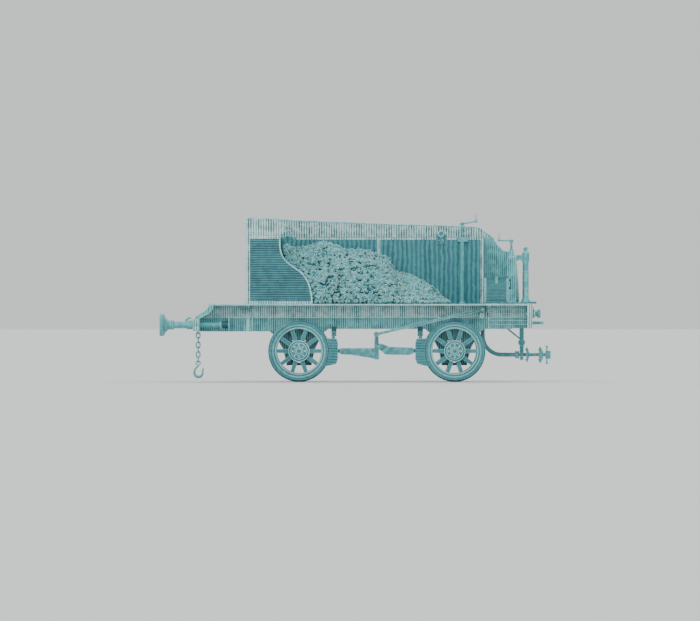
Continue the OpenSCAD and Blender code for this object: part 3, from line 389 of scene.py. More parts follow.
class Effects:
    """Node groups that several materials share."""

    @staticmethod
    def edge_wear() -> bpy.types.NodeTree:
        """Group that finds edges, where paint is worn pale.

        Returns:
            The group, with inputs Width and Breakup and the output Mask.
        """
        tree, entry, leave = open_group("edge_wear", {"Width": 0.01, "Breakup": 0.3}, ("Mask",))
        if entry is None:
            return tree
        bevel = node(tree, "ShaderNodeBevel", samples=6)
        flat = node(tree, "ShaderNodeNewGeometry")
        dot = node(tree, "ShaderNodeVectorMath", operation="DOT_PRODUCT")
        either = node(tree, "ShaderNodeMath", operation="ABSOLUTE")
        ramp = node(tree, "ShaderNodeMapRange", i_1=0.985, i_2=0.90, i_3=0.0, i_4=1.0)
        place = node(tree, "ShaderNodeTexCoord")
        speckle = node(tree, "ShaderNodeTexNoise", i_2=24.0, i_3=4.0, i_4=0.6)
        cut = node(tree, "ShaderNodeMapRange", i_1=0.35, i_2=0.6, i_3=0.0, i_4=1.0)
        amount = node(tree, "ShaderNodeMath", operation="MULTIPLY")
        rest = node(tree, "ShaderNodeMath", operation="SUBTRACT", i_0=1.0)
        out = node(tree, "ShaderNodeMath", operation="MULTIPLY", use_clamp=True)
        wire(tree, (
            (entry, "Width", bevel, "Radius"), (bevel, "Normal", dot, 0), (flat, "Normal", dot, 1),
            (dot, "Value", either, 0), (either, 0, ramp, 0), (place, "Object", speckle, "Vector"),
            (speckle, "Fac", cut, 0), (cut, 0, amount, 0), (entry, "Breakup", amount, 1), (amount, 0, rest, 1),
            (rest, 0, out, 0), (ramp, 0, out, 1), (out, 0, leave, "Mask")))
        return tree

    @staticmethod
    def streaks() -> bpy.types.NodeTree:
        """Group that draws long fine strokes and soft bands.

        Returns:
            The group, with inputs Stretch and Fineness and the outputs Strokes, Bands and Height.
        """
        tree, entry, leave = open_group("streaks", {"Stretch": None, "Fineness": 1.0}, ("Strokes", "Bands", "Height"))
        if entry is None:
            return tree
        place = node(tree, "ShaderNodeTexCoord")
        scaled = node(tree, "ShaderNodeVectorMath", operation="MULTIPLY")
        finer = node(tree, "ShaderNodeVectorMath", operation="SCALE")
        fine = node(tree, "ShaderNodeTexNoise", i_2=1.0, i_3=3.0, i_4=0.55)
        broad = node(tree, "ShaderNodeTexNoise", i_2=0.23, i_3=2.0, i_4=0.5)
        strokes = node(tree, "ShaderNodeMapRange", i_1=0.50, i_2=0.62, i_3=0.0, i_4=1.0)
        bands = node(tree, "ShaderNodeMapRange", i_1=0.35, i_2=0.68, i_3=0.0, i_4=1.0)
        wire(tree, (
            (place, "Object", scaled, 0), (entry, "Stretch", scaled, 1), (scaled, 0, finer, 0),
            (entry, "Fineness", finer, "Scale"), (finer, 0, fine, "Vector"), (scaled, 0, broad, "Vector"),
            (fine, "Fac", strokes, 0), (broad, "Fac", bands, 0), (strokes, 0, leave, "Strokes"),
            (bands, 0, leave, "Bands"), (fine, "Fac", leave, "Height")))
        return tree

    @staticmethod
    def ruling() -> bpy.types.NodeTree:
        """Group that rules fine parallel lines, a little uneven and broken.

        Returns:
            The group, with inputs Pitch, Weight, Waver and Level and the output Lines.
        """
        first = {"Pitch": 0.045, "Weight": 0.45, "Waver": 0.3, "Level": 0.0}
        tree, entry, leave = open_group("ruling", first, ("Lines",))
        if entry is None:
            return tree
        place = node(tree, "ShaderNodeTexCoord")
        xyz, facing = node(tree, "ShaderNodeSeparateXYZ"), node(tree, "ShaderNodeSeparateXYZ")
        slope = node(tree, "ShaderNodeMath", operation="ABSOLUTE")
        endwise = node(tree, "ShaderNodeMath", operation="GREATER_THAN", i_1=0.7)
        across = node(tree, "ShaderNodeMix", data_type="FLOAT")
        rise = node(tree, "ShaderNodeMath", operation="ABSOLUTE")
        flat = node(tree, "ShaderNodeMath", operation="GREATER_THAN", i_1=0.7)
        upward = node(tree, "ShaderNodeMix", data_type="FLOAT")
        chosen = node(tree, "ShaderNodeMix", data_type="FLOAT")
        counted = node(tree, "ShaderNodeMath", operation="DIVIDE")
        wobble = node(tree, "ShaderNodeTexNoise", i_2=3.0, i_3=2.0, i_4=0.5)
        wavered = node(tree, "ShaderNodeMath", operation="MULTIPLY")
        moved = node(tree, "ShaderNodeMath", operation="ADD")
        zigzag = node(tree, "ShaderNodeMath", operation="PINGPONG", i_1=0.5)
        patchy = node(tree, "ShaderNodeTexNoise", i_2=9.0, i_3=3.0, i_4=0.6)
        swell = node(tree, "ShaderNodeMapRange", i_1=0.35, i_2=0.65, i_3=0.18, i_4=0.72)
        width = node(tree, "ShaderNodeMath", operation="MULTIPLY")
        softer = node(tree, "ShaderNodeMath", operation="ADD", i_1=0.09)
        line = node(tree, "ShaderNodeMapRange", i_3=1.0, i_4=0.0)
        wire(tree, (
            (place, "Object", xyz, 0), (place, "Normal", facing, 0), (facing, "X", slope, 0), (slope, 0, endwise, 0),
            (endwise, 0, across, 0), (xyz, "X", across, 2), (xyz, "Y", across, 3), (facing, "Z", rise, 0),
            (rise, 0, flat, 0), (flat, 0, upward, 0), (xyz, "Z", upward, 2), (xyz, "Y", upward, 3),
            (entry, "Level", chosen, 0), (across, 0, chosen, 2), (upward, 0, chosen, 3), (chosen, 0, counted, 0),
            (entry, "Pitch", counted, 1), (place, "Object", wobble, "Vector"), (wobble, "Fac", wavered, 0),
            (entry, "Waver", wavered, 1), (counted, 0, moved, 0), (wavered, 0, moved, 1), (moved, 0, zigzag, 0),
            (place, "Object", patchy, "Vector"), (patchy, "Fac", swell, 0), (swell, 0, width, 0),
            (entry, "Weight", width, 1), (width, 0, softer, 0), (zigzag, 0, line, 0), (width, 0, line, 1),
            (softer, 0, line, 2), (line, 0, leave, "Lines")))
        return tree

    @staticmethod
    def patina() -> bpy.types.NodeTree:
        """Group that gives slow cloudy variation and fine pitting.

        Returns:
            The group, with the input Scale and the outputs Cloud and Pits.
        """
        tree, entry, leave = open_group("patina", {"Scale": 1.0}, ("Cloud", "Pits"))
        if entry is None:
            return tree
        place = node(tree, "ShaderNodeTexCoord")
        sized = node(tree, "ShaderNodeVectorMath", operation="SCALE")
        cloud = node(tree, "ShaderNodeTexNoise", i_2=1.7, i_3=5.0, i_4=0.6)
        pits = node(tree, "ShaderNodeTexNoise", i_2=60.0, i_3=4.0, i_4=0.65)
        wire(tree, (
            (place, "Object", sized, 0), (entry, "Scale", sized, "Scale"), (sized, 0, cloud, "Vector"),
            (sized, 0, pits, "Vector"), (cloud, "Fac", leave, "Cloud"), (pits, "Fac", leave, "Pits")))
        return tree


@dataclass(frozen=True)
class Finish:
    """One finish: ground colour, ruled strokes over it, worn edges and a gloss."""

    name: str
    ground: Colour
    stroke: Colour
    edge: Colour
    grain: Grain = Grain.CAST
    fineness: float = 1.0
    pitch: float = 0.045
    weight: float = 0.5
    waver: float = 0.5
    strokes: float = 0.5
    bands: float = 0.35
    wear: float = 0.010
    breakup: float = 0.5
    edge_amount: float = 1.0
    rough: float = 0.5
    metal: float = 0.0
    bump: float = 0.25
    coat: float = 0.0
    shade: float = 0.72
    glossier: float = 0.12
    duller: float = 0.16
    relief: float = 0.004

    def material(self) -> bpy.types.Material:
        """Builds the material, or finds it where it was built before.

        Returns:
            The material.
        """
        title = f"finish_{self.name}"
        if title in bpy.data.materials:
            return bpy.data.materials[title]
        mat = bpy.data.materials.new(title)
        mat.use_nodes = True
        tree = mat.node_tree
        link = tree.links.new
        shader = tree.nodes["Principled BSDF"]
        streaks = node(tree, "ShaderNodeGroup", node_tree=Effects.streaks())
        streaks.inputs["Stretch"].default_value = self.grain.value
        streaks.inputs["Fineness"].default_value = self.fineness
        patina = node(tree, "ShaderNodeGroup", node_tree=Effects.patina())
        wear = node(tree, "ShaderNodeGroup", node_tree=Effects.edge_wear())
        wear.inputs["Width"].default_value = self.wear
        wear.inputs["Breakup"].default_value = self.breakup
        strokes = streaks.outputs["Strokes"]
        if self.grain is not Grain.CAST:
            ruling = node(tree, "ShaderNodeGroup", node_tree=Effects.ruling())
            for name, value in (("Pitch", self.pitch), ("Weight", self.weight), ("Waver", self.waver),
                                ("Level", float(self.grain is Grain.LEVEL))):
                ruling.inputs[name].default_value = value
            strokes = ruling.outputs["Lines"]
        stroke_amount = self._scaled(tree, strokes, self.strokes)
        band_amount = self._scaled(tree, streaks.outputs["Bands"], self.bands)
        edge_amount = self._scaled(tree, wear.outputs["Mask"], self.edge_amount)
        shade = tuple(c * self.shade for c in self.ground)
        base = self._mix(tree, patina.outputs["Cloud"], shade, self.ground)
        banded = self._mix(tree, band_amount, base, self.stroke)
        stroked = self._mix(tree, stroke_amount, banded, self.stroke)
        edged = self._mix(tree, edge_amount, stroked, self.edge)
        link(edged, shader.inputs["Base Color"])
        rough = node(tree, "ShaderNodeMapRange", i_1=0.3, i_2=0.7, i_3=max(0.05, self.rough - self.glossier),
                     i_4=min(1.0, self.rough + self.duller))
        link(patina.outputs["Cloud"], rough.inputs[0])
        link(rough.outputs[0], shader.inputs["Roughness"])
        shader.inputs["Metallic"].default_value = self.metal
        shader.inputs["Coat Weight"].default_value = self.coat
        height = node(tree, "ShaderNodeMath", operation="ADD")
        link(streaks.outputs["Height"], height.inputs[0])
        link(patina.outputs["Pits"], height.inputs[1])
        bump = node(tree, "ShaderNodeBump")
        bump.inputs["Strength"].default_value = self.bump
        bump.inputs["Distance"].default_value = self.relief
        link(height.outputs[0], bump.inputs["Height"])
        link(bump.outputs["Normal"], shader.inputs["Normal"])
        return mat

    @staticmethod
    def _scaled(tree: bpy.types.NodeTree, value: bpy.types.NodeSocket, by: float) -> bpy.types.NodeSocket:
        """A mask turned down by a factor."""
        made = node(tree, "ShaderNodeMath", operation="MULTIPLY", use_clamp=True, i_1=by)
        tree.links.new(value, made.inputs[0])
        return made.outputs[0]

    @staticmethod
    def _mix(tree: bpy.types.NodeTree, mask: bpy.types.NodeSocket, low: "Colour | bpy.types.NodeSocket",
             high: "Colour | bpy.types.NodeSocket") -> bpy.types.NodeSocket:
        """Mixes two colours by a mask.

        Args:
            tree: the material's tree.
            mask: how much of the second colour shows.
            low: the first colour, as numbers or a socket.
            high: the second colour, likewise.

        Returns:
            The socket with the mixed colour.
        """
        made = node(tree, "ShaderNodeMix", data_type="RGBA")
        tree.links.new(mask, made.inputs[0])
        for index, colour in ((6, low), (7, high)):
            if isinstance(colour, tuple):
                made.inputs[index].default_value = (*colour, 1.0)
            else:
                tree.links.new(colour, made.inputs[index])
        return made.outputs[2]


SEA: Colour = (0.004, 0.066, 0.090)
REEF: Colour = (0.006, 0.100, 0.130)
SHOAL: Colour = (0.018, 0.190, 0.225)
MIST: Colour = (0.055, 0.330, 0.370)
FROST: Colour = (0.170, 0.560, 0.570)
CHALK: Colour = (0.640, 0.940, 0.910)

FINISHES: dict[str, Finish] = {
    # The dark frame paint is a darker copy of the pale frame paint: painted shade for the recessed lower band of the
    # frame below the doublers.
    "frame_paint_dark": Finish("recess_shade_frame_paint", REEF, FROST, CHALK, Grain.UPRIGHT, pitch=0.040, waver=0.25,
                               strokes=0.70, bands=0.2, wear=0.008),
    "frame_paint_pale": Finish("pale_frame_paint", SHOAL, CHALK, CHALK, Grain.UPRIGHT, pitch=0.040, weight=0.46,
                               waver=0.25, strokes=0.66, bands=0.3, wear=0.010),
    "apron_timber": Finish("apron_paint", SHOAL, FROST, CHALK, Grain.UPRIGHT, weight=0.6, strokes=0.8, bands=0.35,
                           wear=0.012, rough=0.6),
    "deck_boards": Finish("deck_paint", REEF, MIST, CHALK, Grain.LEVEL, strokes=0.6, bands=0.4, wear=0.009,
                          rough=0.7),
    "guide_iron": Finish("guide_iron_paint", SEA, REEF, MIST, strokes=0.4, bands=0.3, wear=0.006, bump=0.4),
    "spring_steel": Finish("spring_steel", SEA, MIST, MIST, Grain.LEVEL, pitch=0.012, strokes=0.4, bands=0.2,
                           wear=0.004, rough=0.4, metal=0.5),
    "tank_side_paint": Finish("dark_tank_paint", SEA, MIST, FROST, Grain.LEVEL, pitch=0.042, weight=0.36, waver=0.6,
                              strokes=0.62, bands=0.15, wear=0.010, rough=0.42),
    "tank_wall_paint": Finish("tank_wall_paint", (0.012, 0.135, 0.165), MIST, FROST, Grain.UPRIGHT, pitch=0.085,
                              weight=0.46, waver=0.8, strokes=0.62, bands=0.25, wear=0.010, rough=0.45),
    "bulkhead_paint": Finish("bulkhead_paint", MIST, FROST, CHALK, Grain.UPRIGHT, strokes=0.4, bands=0.4, wear=0.006),
    "coping_paint": Finish("coping_paint", REEF, CHALK, CHALK, Grain.UPRIGHT, pitch=0.046, weight=0.50, waver=0.25,
                           strokes=0.70, bands=0.25, wear=0.011),
    "coke": Finish("coke", (0.045, 0.250, 0.275), FROST, CHALK, fineness=1.4, strokes=0.40, bands=0.35, wear=0.013,
                   breakup=0.15, rough=0.9, bump=0.9),
    "fitting_iron": Finish("fitting_iron", MIST, FROST, CHALK, fineness=1.3, strokes=0.5, bands=0.4, wear=0.009,
                           bump=0.45),
    "box_timber": Finish("box_paint", SEA, MIST, FROST, Grain.LEVEL, pitch=0.016, strokes=0.5, bands=0.25, wear=0.006,
                         rough=0.6),
    "casing_paint": Finish("casing_paint", REEF, FROST, CHALK, Grain.UPRIGHT, pitch=0.036, weight=0.6, strokes=0.85,
                           bands=0.4, wear=0.008),
    "pipe_metal": Finish("pipe_iron", MIST, FROST, CHALK, fineness=1.2, strokes=0.5, bands=0.45, wear=0.010,
                         bump=0.35),
    "axle_steel": Finish("axle_steel", SHOAL, FROST, CHALK, fineness=1.6, strokes=0.3, bands=0.2, wear=0.005,
                         rough=0.35, metal=0.5),
    "wheel_paint": Finish("wheel_paint", SHOAL, MIST, CHALK, fineness=1.5, strokes=0.35, bands=0.3, wear=0.010,
                          bump=0.4),
    "tyre_steel": Finish("tyre_steel", SHOAL, MIST, CHALK, fineness=1.8, strokes=0.4, bands=0.3, wear=0.010,
                         rough=0.4, metal=0.35),
    "buffer_iron": Finish("buffer_iron", MIST, FROST, CHALK, fineness=1.3, strokes=0.45, bands=0.35, wear=0.013),
    "hook_iron": Finish("hook_iron", MIST, FROST, CHALK, fineness=2.2, strokes=0.5, bands=0.4, wear=0.007, bump=0.5),
    "crank_steel": Finish("crank_steel", MIST, FROST, CHALK, fineness=1.6, strokes=0.4, bands=0.4, wear=0.009,
                          rough=0.34, metal=0.5),
    "trim_paint": Finish("trim_paint", FROST, CHALK, CHALK, fineness=1.4, strokes=0.4, bands=0.4, wear=0.004,
                         rough=0.4),
    "grip_wood": Finish("grip_wood", (0.20, 0.38, 0.36), CHALK, CHALK, Grain.UPRIGHT, pitch=0.008, strokes=0.5,
                        bands=0.3, wear=0.004, rough=0.5),
    "plug_brass": Finish("plug_brass", (0.20, 0.26, 0.10), MIST, CHALK, fineness=1.5, strokes=0.3, bands=0.3,
                         wear=0.004, metal=0.8),
    "brake_iron": Finish("brake_iron", SHOAL, FROST, CHALK, fineness=1.4, strokes=0.45, bands=0.35, wear=0.010,
                         bump=0.45),
    "block_iron": Finish("block_iron", REEF, MIST, CHALK, Grain.LEVEL, pitch=0.050, strokes=0.6, bands=0.3,
                         wear=0.007, bump=0.5),
}
# The coke core's dark finish is painted shade: it fills the gaps between the lumps where shade falls.
COKE_SHADOW = Finish("coke_shadow", SEA, SHOAL, MIST, fineness=1.6, strokes=0.4, bands=0.3, rough=0.95, bump=0.8)


# ---------------------------------------------------------------- the vehicle


@dataclass(frozen=True)
class Span:
    """The box of one CAD node, as two corners."""

    low: Vector
    high: Vector

    @classmethod
    def of(cls, name: str) -> "Span":
        """The box of a node by name."""
        low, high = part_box(name)
        return cls(Vector(low), Vector(high))

    @property
    def middle(self) -> Vector:
        """Middle of the box."""
        return (self.low + self.high) / 2


@dataclass
class Paintwork:
    """Dresses each carried-over CAD node in the finish of its slot."""

    frame: dict

    def dress(self) -> None:
        """Gives each node its finish."""
        slots = {s["node"]: s["material_slot"] for s in self.frame["record"]["subparts"]}
        for name, obj in self.frame["nodes"].items():
            finish = FINISHES[slots[name]].material()
            if obj.material_slots:
                for material_slot in obj.material_slots:
                    material_slot.material = finish
            else:
                obj.data.materials.append(finish)
            LOG.info("node %s wears %s", name, finish.name)


@dataclass
class FrameFastenings:
    """Rivets, bolts and straps of the frame, headstock and front beam."""

    rivet: float = 0.013
    head: float = 0.011
    small: float = 0.8
    small_head: float = 0.009
    fine_pitch: float = 0.057
    wide_pitch: float = 0.19
    bolt: float = 0.020
    bolt_height: float = 0.022
    strap: float = 0.012
    doubling: float = 0.020
    nut_clear: float = 2.79

    def build(self) -> None:
        """Builds the fastenings on both sides."""
        self._rivet_rows()
        self._bolts()
        self._straps()

    def _rivet_rows(self) -> None:
        """Rows along both edges of the doubling plates and the lower edge of the frame plates."""
        doubler, plates = Span.of("frame_doublers"), Span.of("frame_plates")
        maker = MeshMaker()
        for side, axis in ((-1, Axis.NEAR), (1, Axis.Y)):
            y = side * doubler.high.y
            rear, foot, end = doubler.low.x, doubler.low.z + 0.028, doubler.high.x - 0.04
            for low, high, pitch, z in ((rear + 0.08, rear + 0.64, self.fine_pitch, foot),
                                        (rear + 0.76, end, self.wide_pitch, foot),
                                        (rear + 0.34, end, self.wide_pitch, doubler.high.z - 0.03)):
                for x in spaced(low, high, pitch):
                    maker.dome((x, y, z), axis, self.rivet, self.head)
            y = side * plates.high.y
            for low, high, z in ((rear + 0.08, -1.72, 0.955), (-0.34, 1.10, 1.005),
                                 (2.46, plates.high.x - 0.05, 1.02)):
                for x in spaced(low, high, self.wide_pitch):
                    maker.dome((x, y, z), axis, self.rivet * self.small, self.small_head)
        maker.build("frame_rivets", FINISHES["frame_paint_pale"], ROOT, "frame_paint_pale")

    def _bolts(self) -> None:
        """Nuts on the headstock and the front beam."""
        maker = MeshMaker()
        head, beam = Span.of("rear_headstock"), Span.of("front_beam")
        for y, z in product((-1.09, -0.62, -0.30, 0.30, 0.62, 1.09), (0.985, 1.095)):
            maker.nut((head.low.x, y, z), Axis.REAR, self.bolt, self.bolt_height)
        for side, axis in ((-1, Axis.NEAR), (1, Axis.Y)):
            for x in (head.low.x + 0.03, head.low.x + 0.07):
                maker.dome((x, side * head.high.y, 1.04), axis, 0.012, 0.010)
        front = beam.low.x + 0.09
        for y, z in product((-0.88, -0.5, -0.22, 0.22, 0.5, 0.88), (beam.low.z + 0.07, beam.high.z - 0.07)):
            maker.nut((front, y, z), Axis.X, self.bolt, self.bolt_height)
        maker.build("beam_bolts", FINISHES["fitting_iron"], ROOT, "fitting_iron")

    def _straps(self) -> None:
        """Upright straps, the deck's edge moulding and the frame's, which stop clear of the brake nut."""
        doubler, deck = Span.of("frame_doublers"), Span.of("deck_planks")
        maker = MeshMaker()
        for side in (-1, 1):
            for x0, x1, low in ((-2.0, -1.945, 0.93), (-1.905, -1.885, 0.93), (2.42, 2.45, 0.965)):
                face = side * doubler.high.y
                y0, y1 = sorted((face, face + side * self.strap))
                maker.box((x0, y0, doubler.low.z), (x1, y1, doubler.high.z), 0.003)
                plate = side * (doubler.high.y - self.doubling)
                y0, y1 = sorted((plate, plate + side * self.strap))
                maker.box((x0, y0, low), (x1, y1, doubler.low.z), 0.003)
            y = side * (deck.high.y - 0.004)
            maker.tube([Vector((deck.low.x, y, deck.middle.z)), Vector((3.14, y, deck.middle.z))], lambda _: 0.013, 10)
            y = side * (doubler.high.y + 0.001)
            clear = self.nut_clear if side > 0 else doubler.high.x
            maker.tube([Vector((doubler.low.x + 0.01, y, doubler.low.z + 0.004)),
                        Vector((clear, y, doubler.low.z + 0.004))], lambda _: 0.009, 8)
            outer, inner = doubler.high.y, doubler.high.y - self.doubling
            for z, face, bar in ((1.345, outer, 0.011), (1.255, outer, 0.006), (1.125, inner, 0.009),
                                 (1.055, inner, 0.006)):
                maker.tube([Vector((2.46, side * face, z)), Vector((clear, side * face, z))], lambda _, b=bar: b, 8)
        maker.build("frame_straps", FINISHES["trim_paint"], ROOT, "coping_paint")


@dataclass
class TankTrim:
    """Beading, corner bands, seams and rivets of the tank."""

    bead: float = 0.015
    band: float = 0.065
    plate: float = 0.007
    pitch: float = 0.062
    rivet: float = 0.0085
    head: float = 0.007
    foot: float = 1.4302
    chamfer: float = 0.002

    def build(self) -> None:
        """Builds the trim."""
        self._beads()
        self._bands()
        self._rivets()
        self._wing_lining()

    def _wing_lining(self) -> None:
        """A thin plate on the inside of the wing that guards the footplate."""
        face = Span.of("tank_side_far").high.y - 0.014
        outline = [(2.362, 1.50), (3.002, 1.50), (2.984, 1.80), (2.954, 2.18), (2.914, 2.325), (2.797, 2.389),
                   (2.716, 2.404), (2.614, 2.494), (2.554, 2.594), (2.518, 2.656), (2.362, 2.656)]
        count = len(outline)
        maker = MeshMaker()
        points = [Vector((x, y, z)) for y in (face - 0.004, face) for x, z in outline]
        sides = [(i, (i + 1) % count, count + (i + 1) % count, count + i) for i in range(count)]
        maker.add(points, [list(range(count)), *sides])
        maker.build("wing_lining", FINISHES["casing_paint"], ROOT, "coping_paint", smooth=False)

    @staticmethod
    def curve_points() -> list[Vector]:
        """Follows the bulkhead's curve from its top down to the deck.

        Returns:
            Its points, in the x-z plane.
        """
        a, b, c, d = (Vector(p) for p in ((-1.395, 0, 2.5), (-1.35, 0, 1.95), (-0.83, 0, 2.25), (-0.805, 0, 1.43)))
        steps = 24
        points = [Vector((-1.395, 0, TANK_TOP))]
        for i in range(steps + 1):
            t = i / steps
            points.append(a * (1 - t) ** 3 + b * 3 * t * (1 - t) ** 2 + c * 3 * t * t * (1 - t) + d * t ** 3)
        return points

    def _beads(self) -> None:
        """Round beads along the coping's top, the tank's top line and the bulkhead's near edge."""
        side = Span.of("tank_side_far").high.y - 0.007
        maker = MeshMaker()
        edge = [(2.50, 2.68), (2.40, 2.74), (2.28, 2.84), (1.90, 2.86), (1.30, 2.88), (0.0, 2.92), (-1.2, 2.97),
                (-1.96, 3.005), (-2.0, 2.965)]
        maker.tube([Vector((x, side, z)) for x, z in edge], lambda _: self.bead, 10)
        maker.tube([Vector((-1.993, y, 2.965)) for y in (side, 0.0, -side)], lambda _: self.bead, 10)
        short = [(-2.0, 2.965), (-1.96, 3.005), (-1.4, 2.977), (-1.37, 2.90)]
        short += [(-1.34 + 0.05 * math.cos(a), 2.82 + 0.08 * math.sin(a)) for a in (1.4, 0.9, 0.4, 0.0, -0.5, -1.0)]
        maker.tube([Vector((x, -side, z)) for x, z in short], lambda _: self.bead, 10)
        wing = [(2.525, 2.66), (2.56, 2.60), (2.62, 2.50), (2.72, 2.41), (2.80, 2.395), (2.92, 2.33), (2.96, 2.18),
                (2.99, 1.80), (3.01, 1.465)]
        maker.tube([Vector((x, side, z)) for x, z in wing], lambda _: self.bead * 0.8, 10)
        maker.tube([p + Vector((0.004, -side, 0)) for p in self.curve_points()], lambda _: self.bead, 10)
        maker.build("tank_beading", FINISHES["trim_paint"], ROOT, "bulkhead_paint")

    def _bands(self) -> None:
        """Flat strips along the corners, the tank's top line and its foot."""
        half = Span.of("tank_side_far").high.y
        maker = MeshMaker()
        rear = Span.of("tank_rear_sheets").low.x
        for side in (-1, 1):
            y0, y1 = sorted((side * half, side * (half + self.plate)))
            maker.box((rear, y0, self.foot), (rear + self.band, y1, TANK_TOP), self.chamfer)
            end = 2.52 if side > 0 else -1.39
            maker.box((rear + self.band, y0, 2.62), (end, y1, TANK_TOP), self.chamfer)
            foot_end = 2.34 if side > 0 else -0.81
            maker.box((rear + self.band, y0, self.foot), (foot_end, y1, 1.475), self.chamfer)
        for y in (-half + 0.03, half - 0.03 - self.band):
            maker.box((rear - self.plate, y, self.foot), (rear, y + self.band, 2.94), self.chamfer)
        maker.box((rear - self.plate, -half + 0.1, 2.62), (rear, half - 0.1, TANK_TOP), self.chamfer)
        inner = INNER_FACE - self.plate
        for x0, x1 in ((-1.10, 1.485), (1.665, 1.87), (2.07, TANK_FRONT)):
            maker.box((x0, inner, 2.61), (x1, INNER_FACE, 2.646), self.chamfer)
        for x in (0.40, 2.30):
            maker.box((x, inner, self.foot), (x + 0.05, INNER_FACE, 2.61), self.chamfer)
        maker.build("tank_bands", FINISHES["coping_paint"], ROOT, "coping_paint")

    def _rivets(self) -> None:
        """Rivet rows on every band and seam."""
        half = Span.of("tank_side_far").high.y + self.plate
        rear = Span.of("tank_rear_sheets").low.x
        maker = MeshMaker()
        for side, axis in ((-1, Axis.NEAR), (1, Axis.Y)):
            for z in spaced(1.46, 2.58, self.pitch):
                maker.dome((rear + self.band / 2, side * half, z), axis, self.rivet, self.head)
            end, foot_end = (2.48, 2.32) if side > 0 else (-1.42, -0.84)
            for x in spaced(rear + 0.03, end, self.pitch):
                maker.dome((x, side * half, 2.64), axis, self.rivet, self.head)
            for x in spaced(rear + 0.09, foot_end, self.pitch):
                maker.dome((x, side * half, 1.452), axis, self.rivet, self.head)
        for x in (-0.62, 0.78, 2.30):
            for z, dx in product(spaced(1.53, 2.56, self.pitch), (0.0, 0.035)):
                maker.dome((x + dx, half - self.plate, z), Axis.Y, self.rivet, self.head)
        for x, z in product((-0.62, 0.78), spaced(2.70, 2.86, self.pitch)):
            maker.dome((x, half - self.plate, z), Axis.Y, self.rivet, self.head)
        for y, z in product((-half + 0.07, half - 0.07), spaced(1.46, 2.90, self.pitch)):
            maker.dome((rear - self.plate, y, z), Axis.REAR, self.rivet, self.head)
        for y, z in product(spaced(-half + 0.15, half - 0.15, self.pitch), (2.64, 1.455)):
            maker.dome((rear - (self.plate if z > 2 else 0.0), y, z), Axis.REAR, self.rivet, self.head)
        inner = INNER_FACE - self.plate
        for x, z in product((0.425, 2.325), spaced(1.47, 2.57, self.pitch)):
            maker.dome((x, inner, z), Axis.NEAR, self.rivet, self.head)
        for x in spaced(-1.07, 1.46, self.pitch):
            maker.dome((x, inner, 2.628), Axis.NEAR, self.rivet, self.head)
        eyes = MeshMaker()
        for x, z in ((-1.240, 2.725), (1.575, 2.72)):
            eyes.ring((x, 0.490, z), Axis.Y, 0.050, 0.010)
        eyes.build("column_eyes", FINISHES["trim_paint"], ROOT, "bulkhead_paint")
        for x, z in ((-1.32, 2.52), (-1.14, 2.52), (-1.32, 2.63), (-1.14, 2.63), (1.54, 2.60), (1.61, 2.60)):
            maker.dome((x, 0.498, z), Axis.NEAR, 0.013, 0.010)
        maker.build("tank_rivets", FINISHES["coping_paint"], ROOT, "coping_paint")


